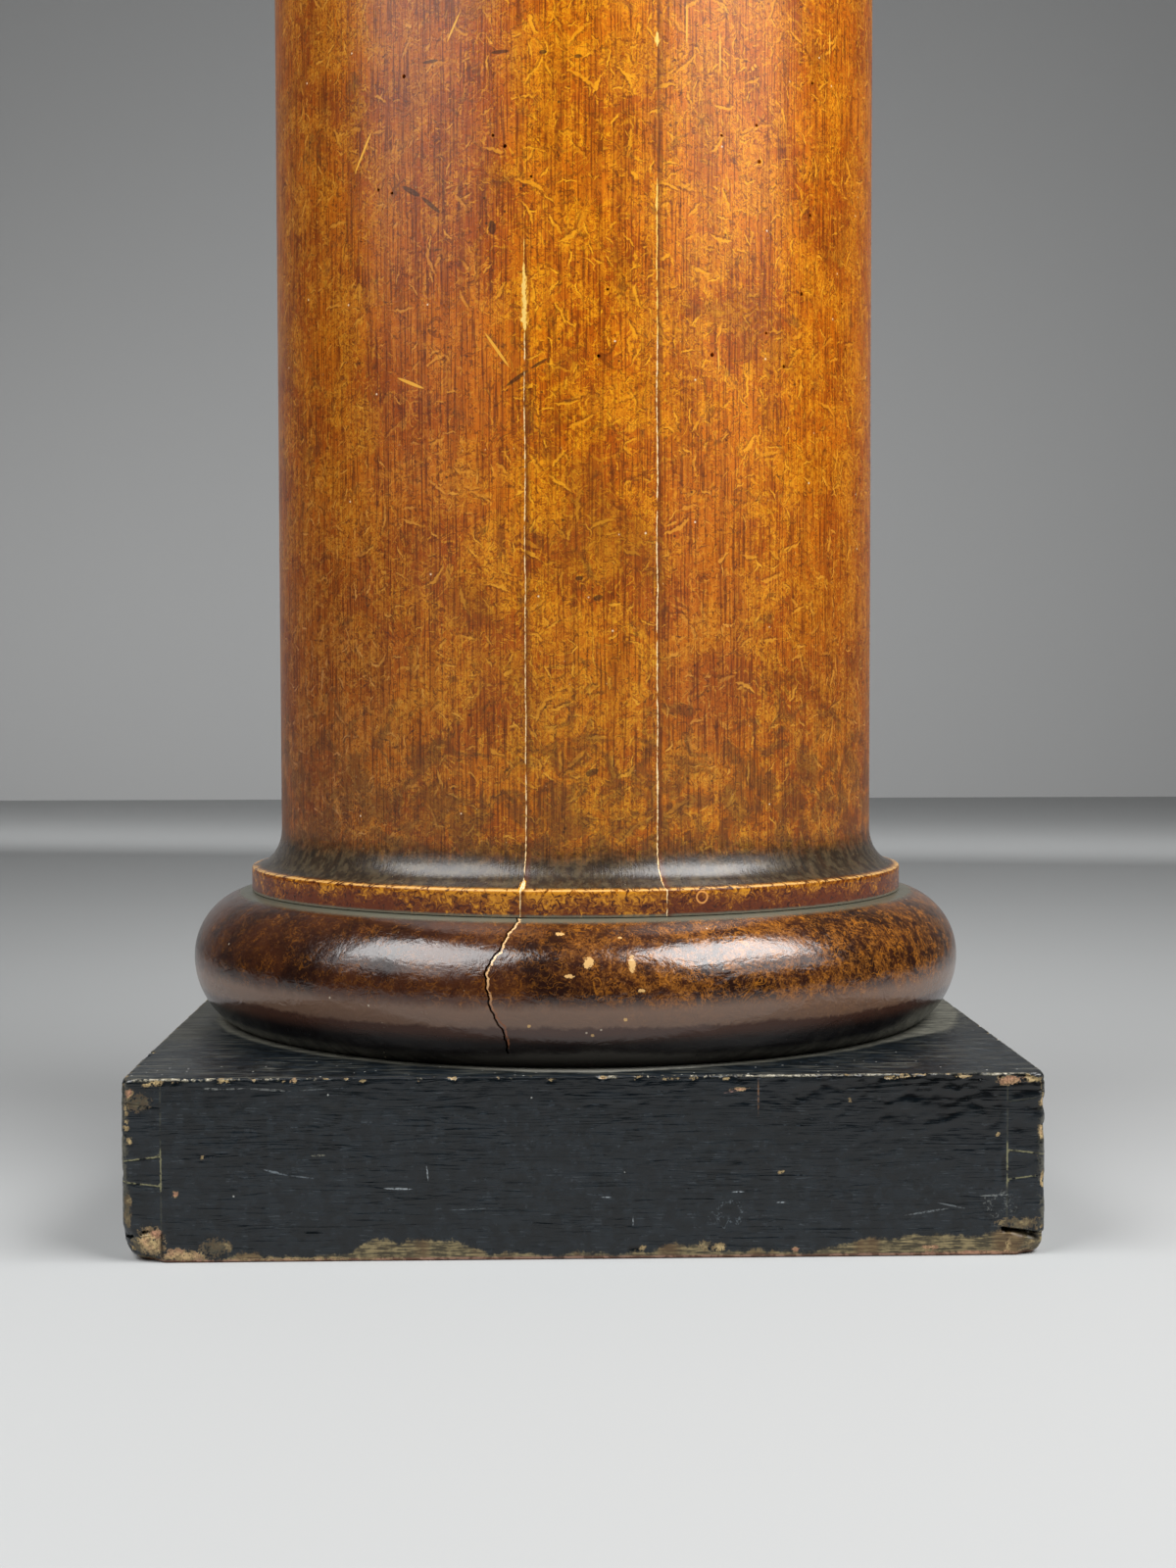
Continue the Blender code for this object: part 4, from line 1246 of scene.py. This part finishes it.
def worn_strip(f, place, x, z, rough, ragged):
    """Where the paint has worn off along the bottom, and the colour of the old wood there."""
    shift = f.grain(f.squeezed(place, 1.0, 1.0, 0.0), 0.022, 3.0, 0.65)
    strip_top = 0.0030 + 0.0110 * (shift - 0.5) + 0.0070 * f.rise(x, 0.085, 0.150)
    strip_top = strip_top + 0.0060 * f.fall(f.size(x + 0.075), 0.016, 0.034)
    strip_top = strip_top + 0.0030 * f.fall(f.size(x - 0.043), 0.006, 0.016)
    strip = f.rise(strip_top - z + 0.0050 * (ragged - 0.5) + 0.0040 * (rough - 0.5), -0.0004, 0.0014)
    lines = f.grain(f.squeezed(place, 0.10, 0.10, 1.0), 0.0010, 3.0, 0.65)
    strip_colour = f.between(f.rise(lines + 0.4 * (rough - 0.5), 0.42, 0.62), (68, 60, 40), (150, 134, 94))
    strip_colour = strip_colour.coat(f.rise(shift, 0.50, 0.62) * 0.6, 104, 76, 44)
    foot_colour = f.between(f.rise(rough, 0.45, 0.55), (120, 78, 56), (186, 140, 116))
    strip_colour = f.mix(f.fall(z + 0.0010 * (ragged - 0.5), 0.0008, 0.0020), strip_colour, foot_colour)
    return strip, strip_colour


def with_front_marks(f, colour, front, x, up, rough, ragged):
    """The scratches and the rings on the plinth's front."""
    upright = f.vector(x, up)
    flaked = front * f.rise(ragged, 0.42, 0.54) * 0.75
    for start, end, width, hue in FRONT_MARKS:
        colour = colour.coat(f.stroke(upright, start, end, width * 0.75) * flaked, *hue)
    flaked_more = front * f.rise(ragged, 0.48, 0.58) * 0.60
    for ring_x, ring_up, ring_radius, hue in FRONT_RINGS:
        off = f.moved(upright, -ring_x, -ring_up, 0.0)
        ring = f.fall(f.size(f.length(off) - ring_radius + 0.020 * (rough - 0.5)), 0.0002, 0.0010)
        colour = colour.coat(ring * flaked_more, *hue)
    return colour


def black_paint(name, half, low, high, dusty):
    """Black paint brushed on thickly over a square block, rubbed through along its edges."""
    f = Finish(name, Specular_IOR_Level=0.5)
    place = f.place()
    x, y, up = f.parts(place)
    z = up - low
    radius = f.maths("SQRT", x * x + y * y)
    rough = f.grain(place, 0.0045, 3.0, 0.65)
    ragged = f.grain(place, 0.0018, 5.0, 0.78)
    drifts = f.grain(place, 0.040, 3.0, 0.6, 0.6)
    depth = f.stored("depth")
    colour = f.between(f.rise(drifts, 0.35, 0.65), (3, 9, 13), (9, 16, 21))
    # Painted sheen where the brushed ridges stand high, and painted shade, near black, in the deepest
    # hollows
    colour = colour.coat(f.fall(depth, 0.05, 0.30) * f.rise(rough, 0.4, 0.6) * 0.35, 34, 44, 52)
    colour = colour.coat(f.rise(depth, 0.35, 0.80) * 0.8, 3, 4, 5)
    grazes = f.streaks(x + y, up, 0.0100, 0.0007, 2.0)
    colour = colour.coat(f.rise(grazes, 0.62, 0.74) * f.rise(rough, 0.48, 0.60) * 0.22, 104, 112, 118)
    colour = colour.coat(f.spots(place, 0.0080, 0.0005, 0.12) * 0.8, 176, 178, 172)

    # Dust on the top, most of it round the foot of the torus, with a painted glare at its front middle
    top = f.rise(up, high - 0.0012, high - 0.0006)
    strokes = f.grain(f.vector(x / 0.030, y / 0.0016), 1.0, 2.0, 0.6, flat=True)
    dust = f.rise(strokes + 0.5 * (drifts - 0.5), 0.54, 0.70) * (0.26 if dusty else 0.12)
    if dusty:
        swept = f.rise(x, 0.100, 0.170) * f.rise(y, -0.120, -0.080)
        reach = 0.1860 + 0.0120 * swept + 0.0040 * f.fall(f.size(x), 0.010, 0.060) + 0.006 * (drifts - 0.5)
        near = f.fall(radius - reach + 0.004 * (rough - 0.5), -0.0015, 0.0035)
        patch = f.fall(x + 0.05 * (drifts - 0.5), -0.190, -0.165) * f.rise(y, -0.120, -0.085)
        swirls = f.fall(radius - reach, -0.004, 0.018) * f.rise(rough, 0.42, 0.60) * swept
        dust = f.most(f.most(dust, near * 0.80), f.most(patch * 0.35, swirls * 0.5))
    dust_and_glare_colour = f.between(f.rise(strokes + 0.4 * (rough - 0.5), 0.35, 0.65), (74, 74, 66), (132, 130, 116))
    # Dust with a painted glare: the dust line at the front middle brightened towards white
    if dusty:
        dust_and_glare_colour = dust_and_glare_colour.coat(near * f.fall(f.size(x - 0.005), 0.030, 0.075) * 0.8, 178, 176, 164)
    colour = f.mix(dust * top, colour, dust_and_glare_colour)
    near_front = f.fall(y, -half + 0.010, -half + 0.060) * top
    colour = colour.coat(f.spots(place, 0.0046, 0.0006, 0.40) * near_front * 0.7, 196, 196, 188)

    # Bare places, outlines of the dovetails, rubbed edges and the strip worn along the bottom
    near_bare = f.stored("bare")
    bitten = (5.0 * (ragged - 0.5) + 2.0 * (rough - 0.5)) * f.rise(near_bare, 0.02, 0.30)
    bare = f.rise(near_bare + bitten, 0.50, 0.66)
    tone = f.stored("tone") + 0.8 * (rough - 0.5)
    wood = f.between(f.rise(tone, 0.0, 0.5), (70, 66, 50), (206, 180, 126))
    wood = wood.coat(f.rise(tone, 0.5, 1.0), 202, 148, 116)
    wood = wood.coat(f.rise(ragged, 0.44, 0.58) * 0.75, 80, 62, 40)
    clear_seam = f.rise(z, 0.0290, 0.0330) * f.fall(z, 0.0480, 0.0510)
    line = f.fall(f.stored("seam") + 0.0014 * (ragged - 0.5), 0.0001, 0.0005)
    line = line * f.rise(rough, 0.40, 0.52) * (0.12 + 0.88 * clear_seam)
    colour = colour.coat(line * 0.85, 136, 132, 98)
    colour = with_rubbed_edges(f, colour, x, y, half, high - up, rough, ragged)
    strip, strip_colour = worn_strip(f, place, x, z, rough, ragged)
    colour = f.mix(strip * (0.90 if dusty else 0.25), colour, strip_colour)
    colour = f.mix(bare, colour, wood)
    colour = colour.coat(f.stored("crack") * 0.95, 6, 5, 4)
    if dusty:
        front = f.fall(y, -half + 0.002, -half + 0.004)
        colour = with_front_marks(f, colour, front, x, up, rough, ragged)
    f.show("Base Color", colour)
    painted = 0.17 if dusty else 0.36
    f.show("Roughness", painted + 0.10 * rough + 0.30 * f.most(bare, strip) + (0.14 + 0.30 * dust) * top)
    brushed = f.grain(f.squeezed(place, 0.05, 0.05, 1.0), 0.0012, 3.0, 0.66)
    swollen = f.grain(f.squeezed(place, 0.08, 0.08, 1.0), 0.0034, 2.0, 0.55, 1.5)
    lumps = f.grain(f.squeezed(place, 0.30, 0.30, 1.0), 0.0060, 2.0, 0.6, 0.5)
    patches = f.rise(f.grain(f.squeezed(place, 0.5, 0.5, 1.0), 0.020, 3.0, 0.6), 0.40, 0.62)
    normal = f.ridge((swollen - 0.5) * (0.20 + 0.80 * patches), 0.00080, 0.5)
    normal = f.ridge(f.fall(lumps, 0.30, 0.46) * patches, 0.00022, 0.5, normal)
    normal = f.ridge(brushed, 0.00020, 0.5, normal)
    f.show("Normal", f.ridge(ragged, 0.00022, 0.35, normal))
    return f.material


# Studio

CAMERA_PLACE = Vector((-0.0231, -1.0811, 0.2438))
CAMERA_YAW = -0.0274
CAMERA_DIP = 0.0428
CAMERA_ROLL = -0.0020
CAMERA_LENS = 47.25
CAMERA_SENSOR = 36.0
WALL_DISTANCE = 3.8
WALL_MIDDLE = 3.0
SHEET_SIZE = 16.0
FLOOR_COLOUR = (0.36, 0.368, 0.369, 1.0)
WALL_COLOUR = (0.42, 0.424, 0.424, 1.0)

# Soft boxes beside the camera, as (name, azimuth, elevation, width, height, power)
LIGHT_TARGET = Vector((0.0, 0.0, 0.30))
BOX_DISTANCE = 2.0
SIDE_BOXES = [
    ("left_box", -58, 47, 1.53, 1.07, 45), ("right_box", 57, 48, 1.47, 1.07, 64),
    ("left_low_box", -58, 24, 1.53, 0.50, 5), ("right_low_box", 57, 24, 1.47, 0.50, 6),
]

# The box that lights the wall
WALL_BOX_PLACE = Vector((-0.3, WALL_DISTANCE - 1.6, 0.5))
WALL_BOX_TARGET = Vector((0, WALL_DISTANCE, 0.0))
WALL_BOX_WIDTH = 4.0
WALL_BOX_HEIGHT = 0.3
WALL_BOX_POWER = 12

# Brightness of the surroundings in reflections, as a fill light, and behind everything
MIRRORED_GLOW = 0.02
FILL_GLOW = 0.09
BACKDROP_GLOW = 0.22


def build_camera():
    data = bpy.data.cameras.new("camera")
    data.lens = CAMERA_LENS
    data.sensor_width = CAMERA_SENSOR
    data.dof.use_dof = False
    camera = bpy.data.objects.new("camera", data)
    turn = Matrix.Rotation(CAMERA_YAW, 4, "Z") @ Matrix.Rotation(math.pi / 2 - CAMERA_DIP, 4, "X")
    camera.matrix_world = Matrix.Translation(CAMERA_PLACE) @ turn @ Matrix.Rotation(CAMERA_ROLL, 4, "Z")
    bpy.context.scene.collection.objects.link(camera)
    bpy.context.scene.camera = camera


def plain_sheet(name, size, matrix, colour):
    shape = bmesh.new()
    bmesh.ops.create_grid(shape, x_segments=1, y_segments=1, size=size / 2, matrix=matrix)
    mesh = bpy.data.meshes.new(name)
    shape.to_mesh(mesh)
    shape.free()
    mesh.materials.append(Finish(name, Base_Color=colour, Roughness=0.75).material)
    sheet = bpy.data.objects.new(name, mesh)
    bpy.context.scene.collection.objects.link(sheet)


def light_box(name, place, target, width, height, power):
    """A soft box at a place, facing a target, that the camera doesn't see."""
    light = bpy.data.lights.new(name, "AREA")
    light.shape = "RECTANGLE"
    light.size = width
    light.size_y = height
    light.energy = power
    lamp = bpy.data.objects.new(name, light)
    lamp.location = place
    lamp.rotation_euler = (place - target).to_track_quat("Z", "Y").to_euler()
    lamp.visible_camera = False
    bpy.context.scene.collection.objects.link(lamp)


def box_place(azimuth, elevation, distance):
    """A place seen from the light target at an azimuth and an elevation in degrees."""
    level = direction(math.radians(azimuth)) * math.cos(math.radians(elevation))
    return LIGHT_TARGET + (level + Vector((0, 0, math.sin(math.radians(elevation))))) * distance


def build_studio():
    plain_sheet("floor", SHEET_SIZE, Matrix.Identity(4), FLOOR_COLOUR)
    upright = Matrix.Translation((0, WALL_DISTANCE, WALL_MIDDLE)) @ Matrix.Rotation(math.pi / 2, 4, "X")
    plain_sheet("wall", SHEET_SIZE, upright, WALL_COLOUR)
    for name, azimuth, elevation, width, height, power in SIDE_BOXES:
        place = box_place(azimuth, elevation, BOX_DISTANCE)
        light_box(name, place, LIGHT_TARGET, width, height, power)
    light_box("wall_box", WALL_BOX_PLACE, WALL_BOX_TARGET, WALL_BOX_WIDTH, WALL_BOX_HEIGHT, WALL_BOX_POWER)
    bpy.context.scene.view_settings.view_transform = "Standard"


def glow(nodes, strength):
    """White surroundings of one brightness."""
    made = nodes.new("ShaderNodeBackground")
    made.inputs["Color"].default_value = (1.0, 1.0, 1.0, 1.0)
    made.inputs["Strength"].default_value = strength
    return made.outputs[0]


def build_surroundings():
    world = bpy.data.worlds.new("studio")
    world.use_nodes = True
    nodes, links = world.node_tree.nodes, world.node_tree.links
    nodes.remove(nodes["Background"])
    rays = nodes.new("ShaderNodeLightPath")
    shown = glow(nodes, MIRRORED_GLOW)
    for ray, strength in (("Is Diffuse Ray", FILL_GLOW), ("Is Camera Ray", BACKDROP_GLOW)):
        choice = nodes.new("ShaderNodeMixShader")
        links.new(rays.outputs[ray], choice.inputs[0])
        links.new(shown, choice.inputs[1])
        links.new(glow(nodes, strength), choice.inputs[2])
        shown = choice.outputs[0]
    links.new(shown, nodes["World Output"].inputs["Surface"])
    bpy.context.scene.world = world


build_camera()
build_studio()
build_surroundings()
build_shaft(grained_varnish())
ring_finish = dark_varnish()
build_torus(ring_finish)
build_cap_ring(ring_finish)
plinth_finish = black_paint("plinth_paint", PLINTH_HALF, 0.0, PLINTH_HEIGHT, dusty=True)
build_plinth(plinth_finish)
build_deck(plinth_finish)
build_slab(black_paint("slab_paint", SLAB_HALF, SLAB_BASE, SLAB_TOP, dusty=False))
